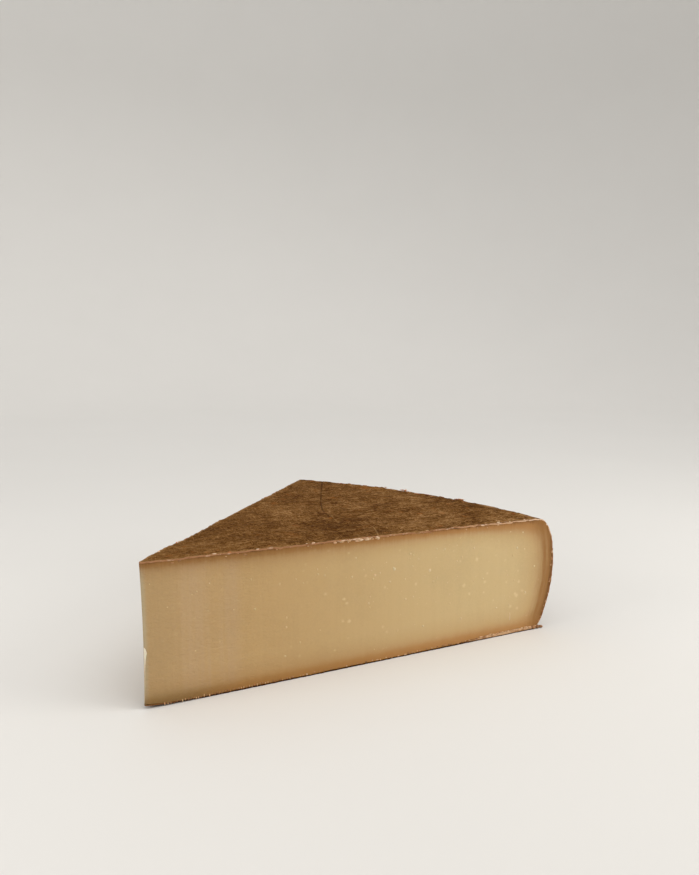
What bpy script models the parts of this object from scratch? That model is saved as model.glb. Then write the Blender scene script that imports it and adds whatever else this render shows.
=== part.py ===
"""Wedge of a pressed mountain cheese, about a seventh of a wheel, standing on the wheel's flat side.

Two straight cuts meet at the middle of the wheel. The tip points to -X, the front cut faces -Y, and the
rounded heel is at +X. The base lies on z = 0, and the origin is under the middle of the wedge's box.
Metres, +Z up.
"""

import math

import bmesh
import bpy
from mathutils import Vector, noise

# Driving dimensions: the wheel.
WHEEL_HEIGHT = 0.100  # at the middle of the wheel
BELLY_RADIUS = 0.3388  # from the middle to the heel's widest line, where the heel is flattest
HEEL_BULGE = 0.019  # how far the belly stands out beyond the foot and the shoulder
BELLY_HEIGHT = 0.057  # height of the widest line
FOOT_ROUNDING = (1.6, 0.6)  # powers of the heel's curve below the belly
SHOULDER_ROUNDING = (2.5, 0.4)  # powers of the heel's curve above the belly

# Driving dimensions: the cut.
SECTOR_ANGLE = math.radians(50.2)
TIP_HOLLOW = 0.0014  # how far the cutting wire bowed into the tip, at its deepest
TIP_HOLLOW_HEIGHT = 0.045
CUT_SWELL = 0.0017  # how far the back cut swells out beside the tip
CUT_SWELL_AT = 0.020  # how far from the tip it is thickest
CUT_SWELL_LENGTH = 0.060
CUT_SWELL_ONSET = 3.0  # how steeply it rises from the tip
CUT_SWELL_FALLOFF = 4.0  # how steeply it ends

# How the wheel is out of true.
HEEL_FLAT_AT = math.radians(21.0)  # where its outline is flattest, from the front cut
HEEL_FLAT_SPREAD = math.radians(30.0)
HEEL_FLATTENING = 0.012  # radius gained over that spread
FRONT_SLOPE = 0.033  # share of the height that the top loses towards the front of the heel
BACK_RISE = 0.021  # share of it that the top gains again towards the back of the heel
TIP_LIFT = 0.0028  # how far the underside of the tip stands off the board
TIP_LIFT_LENGTH = 0.050

# The rind's relief.
LUMP_SIZE, LUMP_HEIGHT = 0.045, 0.0006
GRAIN_SIZE, GRAIN_HEIGHT = 0.013, 0.0004
FLAKE_HEIGHT = 0.0015  # of the tallest of the torn flakes that stand along the shoulder
FLAKES = {  # degrees from the front cut, and share of that height
    3.3: 0.5,
    7.5: 0.7,
    11.7: 0.4,
    15.9: 1.0,
    20.1: 0.6,
    23.4: 0.4,
    28.0: 1.0,
    32.3: 0.8,
    36.0: 0.5,
    40.2: 0.6,
    44.3: 0.4,
    47.7: 0.6,
}
NICK_AT, NICK_LENGTH, NICK_DEPTH = 0.209, 0.008, 0.0012  # a nick in the front cut's upper edge

# How finely the faces are divided.
TURN_STEPS = 60
TOP_STEPS = 32
BASE_STEPS = 8
HEEL_STEPS = 20
TIP_STEPS = 8
CUT_LINES = (0.012, 0.030, 0.060)  # upright lines across the cuts, near the tip
MERGE_DISTANCE = 1e-6
AXIS_DISTANCE = 1e-5  # nearer than this to the wheel's axis, a point is on the tip
SHARP_ANGLE = math.radians(35)  # between faces that meet at an edge and not in a curve
CUT_LIKENESS = 0.97  # a face whose normal has this much of a cut's is part of the cut

PASTE_COLOUR, PASTE_ROUGHNESS = (0.56, 0.40, 0.21, 1.0), 0.45
RIND_COLOUR, RIND_ROUGHNESS = (0.18, 0.095, 0.042, 1.0), 0.85


def steps(first, last, count):
    """Evenly spaced values from first up to, and without, last."""
    return [first + (last - first) * i / count for i in range(count)]


def heel_flare(height):
    """Share of the bulge that the heel has at a height, from 0 at foot and shoulder to 1 at the belly."""
    if height < BELLY_HEIGHT:
        power, root = FOOT_ROUNDING
        reach = 1 - height / BELLY_HEIGHT
    else:
        power, root = SHOULDER_ROUNDING
        reach = (height - BELLY_HEIGHT) / (WHEEL_HEIGHT - BELLY_HEIGHT)
    return max(0.0, 1 - reach**power) ** root


def heel_growth(turn):
    """How much further than its flattest place the heel reaches, at an angle from the front cut."""
    return HEEL_FLATTENING * ((turn - HEEL_FLAT_AT) / HEEL_FLAT_SPREAD) ** 2


FRONT_BELLY = BELLY_RADIUS + heel_growth(0)
SHOULDER = FRONT_BELLY - HEEL_BULGE  # radius of the foot and of the flat top, in the front cut


def cut_outline():
    """The (radius, height) points of the front cut: base, heel, top, then down the tip."""
    base = [(radius, 0.0) for radius in steps(0.0, SHOULDER, BASE_STEPS)]
    heel = []
    for angle in steps(-math.pi / 2, math.pi / 2, HEEL_STEPS):
        half = BELLY_HEIGHT if angle < 0 else WHEEL_HEIGHT - BELLY_HEIGHT
        height = BELLY_HEIGHT + half * math.sin(angle)
        heel.append((SHOULDER + HEEL_BULGE * heel_flare(height), height))
    top = [(radius, WHEEL_HEIGHT) for radius in steps(SHOULDER, 0.0, TOP_STEPS)]
    tip = [(0.0, height) for height in steps(WHEEL_HEIGHT, 0.0, TIP_STEPS)]
    return base + heel + top + tip


def draw_front_cut(mesh):
    """Fills the outline in the XZ plane and divides it along the upright lines near the tip."""
    points = [mesh.verts.new((radius, 0.0, height)) for radius, height in cut_outline()]
    sides = [mesh.edges.new(pair) for pair in zip(points, points[1:] + points[:1])]
    bmesh.ops.contextual_create(mesh, geom=sides)
    for radius in CUT_LINES:
        everything = mesh.verts[:] + mesh.edges[:] + mesh.faces[:]
        bmesh.ops.bisect_plane(mesh, geom=everything, plane_co=(radius, 0, 0), plane_no=(1, 0, 0))


def turn_sector(mesh):
    """Spins the front cut about the wheel's axis, which leaves a cut at both ends, and welds the tip."""
    bmesh.ops.spin(
        mesh,
        geom=mesh.verts[:] + mesh.edges[:] + mesh.faces[:],
        cent=(0, 0, 0),
        axis=(0, 0, 1),
        angle=SECTOR_ANGLE,
        steps=TURN_STEPS,
    )
    bmesh.ops.remove_doubles(mesh, verts=mesh.verts[:], dist=MERGE_DISTANCE)
    bmesh.ops.recalc_face_normals(mesh, faces=mesh.faces[:])


def relief(place):
    """Height of the rind's lumps and grain at a place."""
    lumps = LUMP_HEIGHT * noise.noise(place / LUMP_SIZE)
    return lumps + GRAIN_HEIGHT * noise.noise(place / GRAIN_SIZE)


def turn_step(turn):
    """The step of the spin nearest to an angle."""
    return round(turn / SECTOR_ANGLE * TURN_STEPS)


def flakes():
    """The steps of the spin at which a flake stands on the shoulder, with its height."""
    return {turn_step(math.radians(turn)): FLAKE_HEIGHT * share for turn, share in FLAKES.items()}


def nick(radius, turn):
    """How deep the nick in the front cut's upper edge is at a place on the top."""
    if turn > AXIS_DISTANCE:
        return 0.0
    return NICK_DEPTH * max(0.0, 1 - ((radius - NICK_AT) / NICK_LENGTH) ** 2)


def roughened(place, turn, raised):
    """A point of the true sector with the rind's relief: along Z on the top, outwards on the heel."""
    radius = math.hypot(place.x, place.y)
    if place.z > WHEEL_HEIGHT - MERGE_DISTANCE:
        lift = relief(place) - nick(radius, turn)
        if radius > SHOULDER - MERGE_DISTANCE:
            lift += raised.get(turn_step(turn), 0.0)
        return place + Vector((0, 0, lift))
    if radius > SHOULDER + MERGE_DISTANCE:
        share = math.sin(math.pi * place.z / WHEEL_HEIGHT)
        return place * (1 + share * relief(place) / radius)
    return place


def hollow_tip(place):
    """The tip's edge, pressed in by the wire along the line that halves the wedge."""
    share = 1 - ((place.z - TIP_HOLLOW_HEIGHT) / (WHEEL_HEIGHT - TIP_HOLLOW_HEIGHT)) ** 2
    half = SECTOR_ANGLE / 2
    return place + TIP_HOLLOW * max(0.0, share) * Vector((math.cos(half), math.sin(half), 0))


def swelled_cut(place, radius):
    """The back cut beside the tip, pushed out from its plane."""
    away = (radius - CUT_SWELL_AT) / CUT_SWELL_LENGTH
    onset = 1 - math.exp(-CUT_SWELL_ONSET * radius / CUT_SWELL_AT)
    share = onset * math.exp(-CUT_SWELL_FALLOFF * away**2)
    out = Vector((-math.sin(SECTOR_ANGLE), math.cos(SECTOR_ANGLE), 0))
    return place + CUT_SWELL * share * out


def settled(place, turn):
    """A point of the true sector where it lies in a wheel that is a little out of true."""
    radius = math.hypot(place.x, place.y)
    reach = radius / SHOULDER
    growth = 1 + (heel_growth(turn) - heel_growth(0)) / SHOULDER
    slope = 1 + reach * (BACK_RISE * turn / SECTOR_ANGLE - FRONT_SLOPE)
    lift = TIP_LIFT * max(0.0, 1 - radius / TIP_LIFT_LENGTH) ** 2 * (1 - place.z / WHEEL_HEIGHT)
    return Vector((place.x * growth, place.y * growth, place.z * slope + lift))


def shape_cheese(mesh):
    """Moves each point of the true sector to its place on the real, uneven cheese."""
    raised = flakes()
    for point in mesh.verts:
        radius = math.hypot(point.co.x, point.co.y)
        turn = math.atan2(point.co.y, point.co.x) if radius > AXIS_DISTANCE else 0.0
        place = settled(roughened(point.co, turn, raised), turn)
        if radius < AXIS_DISTANCE:
            place = hollow_tip(place)
        elif turn > SECTOR_ANGLE - MERGE_DISTANCE:
            place = swelled_cut(place, radius)
        point.co = place


def centre_on_base(mesh):
    """Moves the wedge so that the origin is under the middle of its box, with its base on z = 0."""
    low = Vector([min(point.co[i] for point in mesh.verts) for i in range(3)])
    high = Vector([max(point.co[i] for point in mesh.verts) for i in range(3)])
    middle = (low + high) / 2
    bmesh.ops.translate(mesh, vec=(-middle.x, -middle.y, -low.z), verts=mesh.verts[:])


def make_material(name, colour, roughness):
    """A plain Principled material."""
    material = bpy.data.materials.new(name)
    material.use_nodes = True
    shader = material.node_tree.nodes["Principled BSDF"]
    shader.inputs["Base Color"].default_value = colour
    shader.inputs["Roughness"].default_value = roughness
    shader.inputs["Metallic"].default_value = 0.0
    return material


def dress(mesh_data):
    """Rind on the base, the heel and the top, and paste on the two upright cuts."""
    mesh_data.materials.append(make_material("rind", RIND_COLOUR, RIND_ROUGHNESS))
    mesh_data.materials.append(make_material("paste", PASTE_COLOUR, PASTE_ROUGHNESS))
    back = Vector((-math.sin(SECTOR_ANGLE), math.cos(SECTOR_ANGLE), 0))
    for face in mesh_data.polygons:
        cut = max(face.normal.dot(Vector((0, -1, 0))), face.normal.dot(back))
        face.material_index = 1 if cut > CUT_LIKENESS else 0


def make_wedge(collection):
    """The whole cheese, as one solid."""
    mesh = bmesh.new()
    draw_front_cut(mesh)
    turn_sector(mesh)
    shape_cheese(mesh)
    centre_on_base(mesh)
    data = bpy.data.meshes.new("comte_wedge")
    mesh.to_mesh(data)
    mesh.free()
    dress(data)
    data.shade_smooth()
    data.set_sharp_from_angle(angle=SHARP_ANGLE)
    wedge = bpy.data.objects.new("comte_wedge", data)
    collection.objects.link(wedge)
    return wedge


def main():
    """Clears the scene and models the wedge in a collection of its own."""
    for old in list(bpy.data.objects):
        bpy.data.objects.remove(old)
    collection = bpy.data.collections.new("cheese_wedge")
    bpy.context.scene.collection.children.link(collection)
    make_wedge(collection)


main()
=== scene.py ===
"""Looks of a comte cheese wedge: waxy paste, brushed brown rind, crystals, flakes and crumbs.

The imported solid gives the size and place. The paste and the rind are modelled round it as two
closed pieces, and the small things that sit on them are one piece for each kind.
"""

import logging
import math
import random
from contextlib import contextmanager
from dataclasses import dataclass
from enum import Enum
from functools import reduce
from typing import Iterator

import bpy
import numpy as np
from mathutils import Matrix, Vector, noise


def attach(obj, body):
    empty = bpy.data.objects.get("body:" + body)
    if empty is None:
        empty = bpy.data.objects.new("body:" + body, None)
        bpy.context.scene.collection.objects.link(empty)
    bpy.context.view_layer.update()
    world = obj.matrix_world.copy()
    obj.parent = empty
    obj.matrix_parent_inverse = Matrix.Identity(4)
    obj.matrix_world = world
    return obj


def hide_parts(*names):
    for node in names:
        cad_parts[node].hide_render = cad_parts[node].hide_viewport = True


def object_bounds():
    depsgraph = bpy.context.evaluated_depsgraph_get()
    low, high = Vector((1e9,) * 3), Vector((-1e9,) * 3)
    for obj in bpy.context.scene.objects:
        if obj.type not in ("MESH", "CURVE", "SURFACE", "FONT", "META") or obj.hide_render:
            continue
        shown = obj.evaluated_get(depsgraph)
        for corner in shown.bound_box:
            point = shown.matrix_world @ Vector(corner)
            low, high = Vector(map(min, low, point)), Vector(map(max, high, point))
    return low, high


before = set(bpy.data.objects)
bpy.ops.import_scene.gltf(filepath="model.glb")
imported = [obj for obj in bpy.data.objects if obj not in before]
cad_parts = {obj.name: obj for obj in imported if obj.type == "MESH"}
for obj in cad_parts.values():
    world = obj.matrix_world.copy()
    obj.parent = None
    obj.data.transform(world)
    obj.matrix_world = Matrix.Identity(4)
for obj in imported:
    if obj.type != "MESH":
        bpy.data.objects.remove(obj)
CAD_LOW, CAD_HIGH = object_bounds()

NODE = "comte_wedge"
MM = 0.001
WELD = 0.001 * MM
ON_AXIS = 0.01 * MM
log = logging.getLogger("comte")

Array = np.ndarray
Values = np.ndarray | float
Colour = tuple[float, float, float, float]
Range = tuple[float, float]
Change = tuple[float, float, float, float]
Size = tuple[float, float, float]
Stops = tuple[tuple[float, Colour], ...]
Piece = bpy.types.Object


class Cut(Enum):
    """The two upright faces that the cutting wire left."""

    FRONT = 0
    BACK = 1


@dataclass(frozen=True)
class Wedge:
    """The wedge's place in its wheel, whose axis stands at the tip.

    Angles start at the front cut. The sizes are those of the solid, in metres and radians.
    """

    tip: Vector
    height: float = 0.100
    angle: float = math.radians(50.2)
    belly_radius: float = 0.3388
    belly_height: float = 0.057
    bulge: float = 0.019
    foot_rounding: Range = (1.6, 0.6)
    shoulder_rounding: Range = (2.5, 0.4)
    flat_at: float = math.radians(21.0)
    flat_spread: float = math.radians(30.0)
    flattening: float = 0.012
    front_slope: float = 0.033
    back_rise: float = 0.021
    tip_lift: float = 0.0028
    tip_lift_length: float = 0.050
    hollow: float = 0.0014
    hollow_height: float = 0.045
    hollow_length: float = 0.012
    swell: float = 0.0017
    swell_at: float = 0.020
    swell_length: float = 0.060
    swell_falloff: float = 4.0
    swell_onset: float = 3.0
    roll: float = 0.0001
    roll_length: float = 0.005
    roll_height: float = 0.020
    roll_from_tip: float = 0.030
    roll_lump: float = 0.012
    roll_unevenness: float = 0.5
    wave: float = 0.0003
    wave_lengths: Range = (0.055, 0.16)
    ripple: float = 0.00012
    ripple_lengths: Range = (0.0045, 0.12)
    wave_from_tip: float = 0.010
    wave_seed: float = 5.0

    def growth(self, turn: Values) -> Values:
        """How much further out than at its flattest the heel lies at an angle."""
        return self.flattening * ((turn - self.flat_at) / self.flat_spread) ** 2

    @property
    def shoulder(self) -> float:
        """Radius at which the flat top ends, in the front cut."""
        return self.belly_radius + self.growth(0.0) - self.bulge

    def grown(self, turn: Values) -> Values:
        """The heel's radius at an angle, as a share of that in the front cut."""
        return 1 + (self.growth(turn) - self.growth(0.0)) / self.shoulder

    def turn(self, cut: Cut) -> float:
        """Angle of a cut."""
        return cut.value * self.angle

    def normal(self, cut: Cut) -> Vector:
        """Outward direction of a cut.

        Args:
            cut: the cut.

        Returns:
            A unit vector.
        """
        if cut is Cut.FRONT:
            return Vector((0, -1, 0))
        return Vector((-math.sin(self.angle), math.cos(self.angle), 0))

    def along(self, cut: Cut) -> Vector:
        """Level direction of a cut, from the tip to the heel."""
        return Vector((math.cos(self.turn(cut)), math.sin(self.turn(cut)), 0))

    def polar(self, points: Array) -> tuple[Array, Array]:
        """Distance from the wheel's axis and angle from the front cut of many points.

        Args:
            points: places, one row each.

        Returns:
            The distances and the angles.
        """
        x = points[:, 0] - self.tip.x
        y = points[:, 1] - self.tip.y
        radius = np.hypot(x, y)
        return radius, np.where(radius > ON_AXIS, np.arctan2(y, x), self.angle / 2)

    def to_cut(self, points: Array, cut: Cut) -> Array:
        """How far inside a cut's plane points lie."""
        return -(points - np.array(self.tip)) @ np.array(self.normal(cut))

    def near_cut(self, points: Array) -> Array:
        """How far inside the nearer cut points lie."""
        return np.minimum(self.to_cut(points, Cut.FRONT), self.to_cut(points, Cut.BACK))

    def waves(self, radius: Array, height: Array, cut: Cut) -> Array:
        """How far out the wire's shallow waves and upright ripples stand at places on a cut.

        Args:
            radius: distances from the axis, in a wheel that is true.
            height: heights, in a wheel that is true.
            cut: the cut they lie on.

        Returns:
            Distances along the cut's normal.
        """
        seed = np.full(len(radius), cut.value * self.wave_seed)
        push = np.zeros(len(radius))
        for size, (long, tall) in ((self.wave, self.wave_lengths),
                                   (self.ripple, self.ripple_lengths)):
            push += size * wander(np.column_stack((radius / long, height / tall, seed)), 1.0)
        return push * np.clip(radius / self.wave_from_tip, 0, 1)

    def flare(self, height: Values) -> Values:
        """Share of the heel's bulge at a height, in a wheel that is true.

        Args:
            height: height above the base.

        Returns:
            0 at the foot and the shoulder, and 1 at the belly.
        """
        low, high = self.foot_rounding, self.shoulder_rounding
        foot = np.clip(1 - height / self.belly_height, 0, 1)
        top = np.clip((height - self.belly_height) / (self.height - self.belly_height), 0, 1)
        below_belly = (1 - foot ** low[0]) ** low[1]
        above_belly = (1 - top ** high[0]) ** high[1]
        return np.where(height < self.belly_height, below_belly, above_belly)

    def heel(self, height: Values, turn: Values) -> Values:
        """Radius of the heel's outside at a height and an angle."""
        return (self.shoulder + self.bulge * self.flare(height)) * self.grown(turn)

    def slope(self, radius: Values, turn: Values) -> Values:
        """Height of the top at a place, as a share of the wheel's height."""
        reach = radius / self.shoulder
        return 1 + reach * (self.back_rise * turn / self.angle - self.front_slope)

    def top(self, radius: Values, turn: Values) -> Values:
        """Height of the top at a place."""
        return self.height * self.slope(radius, turn)

    def settled(self, points: Array) -> Array:
        """Moves points of a true sector to where the uneven cheese has them.

        Args:
            points: places in a sector whose axis is at the tip.

        Returns:
            The places with the wheel's flat heel, sloping top and lifted tip.
        """
        radius, turn = self.polar(points)
        grown = self.grown(turn)
        moved = points.copy()
        moved[:, 0] = self.tip.x + (points[:, 0] - self.tip.x) * grown
        moved[:, 1] = self.tip.y + (points[:, 1] - self.tip.y) * grown
        lift = self.tip_lift * np.clip(1 - radius / self.tip_lift_length, 0, 1) ** 2
        moved[:, 2] = points[:, 2] * self.slope(radius, turn)
        moved[:, 2] += lift * (1 - points[:, 2] / self.height)
        return moved

    def lifted(self, points: Array) -> Array:
        """Rolls the base's edges up off the board along both cuts, and keeps the rest of it level.

        Args:
            points: places in the settled cheese.

        Returns:
            The places after the roll.
        """
        moved = points.copy()
        rise = self.roll * np.exp(-np.clip(self.near_cut(points), 0, 1) / self.roll_length)
        rise *= 1 + self.roll_unevenness * wander(points, self.roll_lump, 2)
        rise *= np.clip(self.polar(points)[0] / self.roll_from_tip, 0, 1)
        moved[:, 2] += rise * np.clip(1 - points[:, 2] / self.roll_height, 0, 1)
        return moved

    def drifted(self, points: Array) -> Array:
        """Moves points by how the wire strayed: a hollow in the tip and a swell behind it.

        Args:
            points: places in the settled cheese.

        Returns:
            The places as they were cut.
        """
        radius, turn = self.polar(points)
        half = self.angle / 2
        level = (points[:, 2] - self.hollow_height) / (self.height - self.hollow_height)
        inward = self.hollow * np.clip(1 - level**2, 0, 1)
        inward *= np.clip(1 - radius / self.hollow_length, 0, 1)
        away = (radius - self.swell_at) / self.swell_length
        outward = self.swell * np.exp(-self.swell_falloff * away**2)
        outward *= 1 - np.exp(-self.swell_onset * radius / self.swell_at)
        outward *= np.clip(turn / self.angle, 0, 1) ** 2
        moved = points + np.outer(inward, (math.cos(half), math.sin(half), 0))
        return moved + np.outer(outward, self.normal(Cut.BACK))


def paint(red: int, green: int, blue: int) -> Colour:
    """A colour given as on a screen, 0 to 255, as the linear RGBA that a shader takes.

    Args:
        red: red.
        green: green.
        blue: blue.

    Returns:
        The colour.
    """
    linear = []
    for value in (red, green, blue):
        share = value / 255
        linear.append(share / 12.92 if share <= 0.04045 else ((share + 0.055) / 1.055) ** 2.4)
    return linear[0], linear[1], linear[2], 1.0


# Sums on many points.


def wander(points: Array, size: float, octaves: int = 1) -> Array:
    """Smooth noise of about -1 to 1 at many points, with lumps of this size.

    Args:
        points: places, one row each.
        size: the lumps' size.
        octaves: how many sizes of lump are added up.

    Returns:
        One value for each place.
    """
    if octaves == 1:
        return np.array([noise.noise(Vector(point)) for point in points / size])
    return np.array([noise.fractal(Vector(point), 1.0, 2.0, octaves) for point in points / size])


def bell(away: Array, width: float) -> Array:
    """A bell curve: 1 at no distance, and near 0 beyond twice this width."""
    return np.exp(-(away / width) ** 2)


@dataclass(frozen=True)
class Patches:
    """A share that comes and goes over a surface: its lump size, middle, swing and limits."""

    size: float
    middle: float
    swing: float
    limits: Range = (0.0, 1.0)
    octaves: int = 2

    def at(self, points: Array) -> Array:
        """The share at many points."""
        share = self.middle + self.swing * wander(points, self.size, self.octaves)
        return np.clip(share, *self.limits)


# Working on meshes as by hand.


def select_only(piece: Piece) -> None:
    """Leaves one object selected and active.

    Args:
        piece: the object.
    """
    bpy.ops.object.select_all(action="DESELECT")
    piece.select_set(True)
    bpy.context.view_layer.objects.active = piece


@contextmanager
def editing(piece: Piece, whole: bool = False) -> Iterator[None]:
    """Edit mode on one object.

    Args:
        piece: the object.
        whole: selects all of its mesh. What was selected before stays so otherwise.

    Returns:
        A context, which goes back to object mode at its end.
    """
    select_only(piece)
    bpy.ops.object.mode_set(mode="EDIT")
    if whole:
        bpy.ops.mesh.select_all(action="SELECT")
    try:
        yield
    finally:
        bpy.ops.object.mode_set(mode="OBJECT")


def added(name: str) -> Piece:
    """Names the primitive that was just added, with its place moved into its mesh.

    Args:
        name: its name.

    Returns:
        The object.
    """
    piece = bpy.context.active_object
    piece.name = piece.data.name = name
    select_only(piece)
    bpy.ops.object.transform_apply(location=True, rotation=True, scale=True)
    return piece


def upright_grid(name: str, columns: int, rows: int, size: float) -> Piece:
    """A grid that stands in the XZ plane, about the origin.

    Args:
        name: its name.
        columns: faces along X.
        rows: faces along Z.
        size: its width and height.

    Returns:
        The grid.
    """
    bpy.ops.mesh.primitive_grid_add(x_subdivisions=columns, y_subdivisions=rows, size=size,
                                    rotation=(math.pi / 2, 0, 0))
    return added(name)


def modified(piece: Piece, kind: str, **settings: object) -> None:
    """Adds a modifier with these settings and applies it.

    Args:
        piece: the object.
        kind: the modifier's type.
        settings: its properties.
    """
    select_only(piece)
    modifier = piece.modifiers.new(kind.title(), kind)
    for name, value in settings.items():
        setattr(modifier, name, value)
    bpy.ops.object.modifier_apply(modifier=modifier.name)


def points_of(piece: Piece) -> Array:
    """The places of an object's vertices, one row each.

    Args:
        piece: the object.

    Returns:
        The places.
    """
    flat = np.empty(len(piece.data.vertices) * 3)
    piece.data.vertices.foreach_get("co", flat)
    return flat.reshape(-1, 3)


def move_points(piece: Piece, points: Array) -> None:
    """Puts an object's vertices at these places."""
    piece.data.vertices.foreach_set("co", points.astype(np.float32).ravel())
    piece.data.update()


def pick_points(piece: Piece, chosen: Array) -> None:
    """Selects just these vertices, with the edges and faces between them, in object mode.

    Args:
        piece: the object.
        chosen: whether each vertex is selected.
    """
    data = piece.data
    data.vertices.foreach_set("select", chosen)
    for edge in data.edges:
        edge.select = bool(chosen[edge.vertices[0]] and chosen[edge.vertices[1]])
    for face in data.polygons:
        face.select = all(chosen[index] for index in face.vertices)


def weigh(piece: Piece, name: str, weights: Array) -> None:
    """Gives an object a vertex group with a weight for each vertex.

    Args:
        piece: the object.
        name: the group's name.
        weights: the weights.
    """
    group = piece.vertex_groups.new(name=name)
    for index, weight in enumerate(weights):
        group.add((index,), float(weight), "REPLACE")


def store(piece: Piece, name: str, values: Array) -> None:
    """Keeps one number, or one vector, for each vertex under a name that a material reads.

    Args:
        piece: the object.
        name: the attribute's name.
        values: the numbers, or one vector in each row.
    """
    vector = values.ndim == 2
    made = piece.data.attributes.new(name, "FLOAT_VECTOR" if vector else "FLOAT", "POINT")
    made.data.foreach_set("vector" if vector else "value", values.astype(np.float32).ravel())


def joined(pieces: list[Piece], name: str) -> Piece:
    """Joins objects into one of this name.

    Args:
        pieces: the objects.
        name: the name of the whole.

    Returns:
        The whole.
    """
    select_only(pieces[0])
    for piece in pieces[1:]:
        piece.select_set(True)
    bpy.ops.object.join()
    whole = bpy.context.active_object
    whole.name = whole.data.name = name
    return whole


def face_out(piece: Piece, inside: bool = False, weld: float | None = None) -> None:
    """Turns a mesh's faces one way.

    Args:
        piece: the mesh.
        inside: turns them inward.
        weld: welds what is nearer than this first.
    """
    with editing(piece, whole=True):
        if weld is not None:
            bpy.ops.mesh.remove_doubles(threshold=weld)
        bpy.ops.mesh.normals_make_consistent(inside=inside)


def finished(piece: Piece, *finishes: "Finish", sharp: float | None = None) -> Piece:
    """Shades a piece smooth and adds its materials.

    Args:
        piece: the piece.
        finishes: its finishes, in order.
        sharp: the angle in degrees from which an edge stays sharp, if any does.

    Returns:
        The same piece.
    """
    select_only(piece)
    if sharp is None:
        bpy.ops.object.shade_smooth()
    else:
        bpy.ops.object.shade_smooth_by_angle(angle=math.radians(sharp))
    for finish in finishes:
        piece.data.materials.append(finish.make())
    return piece


# Materials.


@dataclass(frozen=True)
class Signal:
    """An output of a node, and the sums that Math and Map Range nodes do on it."""

    bench: "Bench"
    socket: bpy.types.NodeSocket

    def __add__(self, other: "Term") -> "Signal":
        """The sum."""
        return self.bench.maths("ADD", self, other)

    def __sub__(self, other: "Term") -> "Signal":
        """The difference."""
        return self.bench.maths("SUBTRACT", self, other)

    def __mul__(self, other: "Term") -> "Signal":
        """The product."""
        return self.bench.maths("MULTIPLY", self, other)

    def __truediv__(self, other: "Term") -> "Signal":
        """The quotient."""
        return self.bench.maths("DIVIDE", self, other)

    def scaled(self, factor: "Term", extra: "Term") -> "Signal":
        """The product with a factor, and something more."""
        return self.bench.maths("MULTIPLY_ADD", self, factor, extra)

    def swung(self, width: float) -> "Signal":
        """A value of 0 to 1 as a swing of this width about 0."""
        return self.scaled(width, -width / 2)

    def off(self, middle: float) -> "Signal":
        """The distance from a value."""
        return self.bench.maths("ABSOLUTE", self - middle)

    def least(self, other: "Term") -> "Signal":
        """The smaller of the two."""
        return self.bench.maths("MINIMUM", self, other)

    def most(self, other: "Term") -> "Signal":
        """The larger of the two."""
        return self.bench.maths("MAXIMUM", self, other)

    def soft_least(self, other: "Term", softness: float) -> "Signal":
        """The smaller of the two, rounded where they meet."""
        return self.bench.maths("SMOOTH_MIN", self, other, softness)

    def spread(self, low: float, high: float, to_low: float = 0.0,
               to_high: float = 1.0) -> "Signal":
        """Maps low..high smoothly to another range, and holds what is outside.

        Args:
            low: where the change starts.
            high: where it ends.
            to_low: the value there at its start.
            to_high: the value at its end.

        Returns:
            The mapped value.
        """
        names = ("Value", "From Min", "From Max", "To Min", "To Max")
        inputs = dict(zip(names, (self, low, high, to_low, to_high)))
        return self.bench.out("MapRange", inputs, interpolation_type="SMOOTHSTEP")

    def faded(self, low: float, high: float) -> "Signal":
        """Maps low..high smoothly to 1..0."""
        return self.spread(low, high, 1.0, 0.0)


Term = Signal | float
Tint = Signal | Colour


@dataclass(frozen=True)
class Grain:
    """A noise of 0 to 1: its lumps' size, one for each axis if they differ, and their turn about Z.

    The weight is its part in a sum.
    """

    size: float | Size
    detail: float = 3.0
    roughness: float = 0.55
    distortion: float = 0.0
    turn: float = 0.0
    weight: float = 1.0


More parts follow.
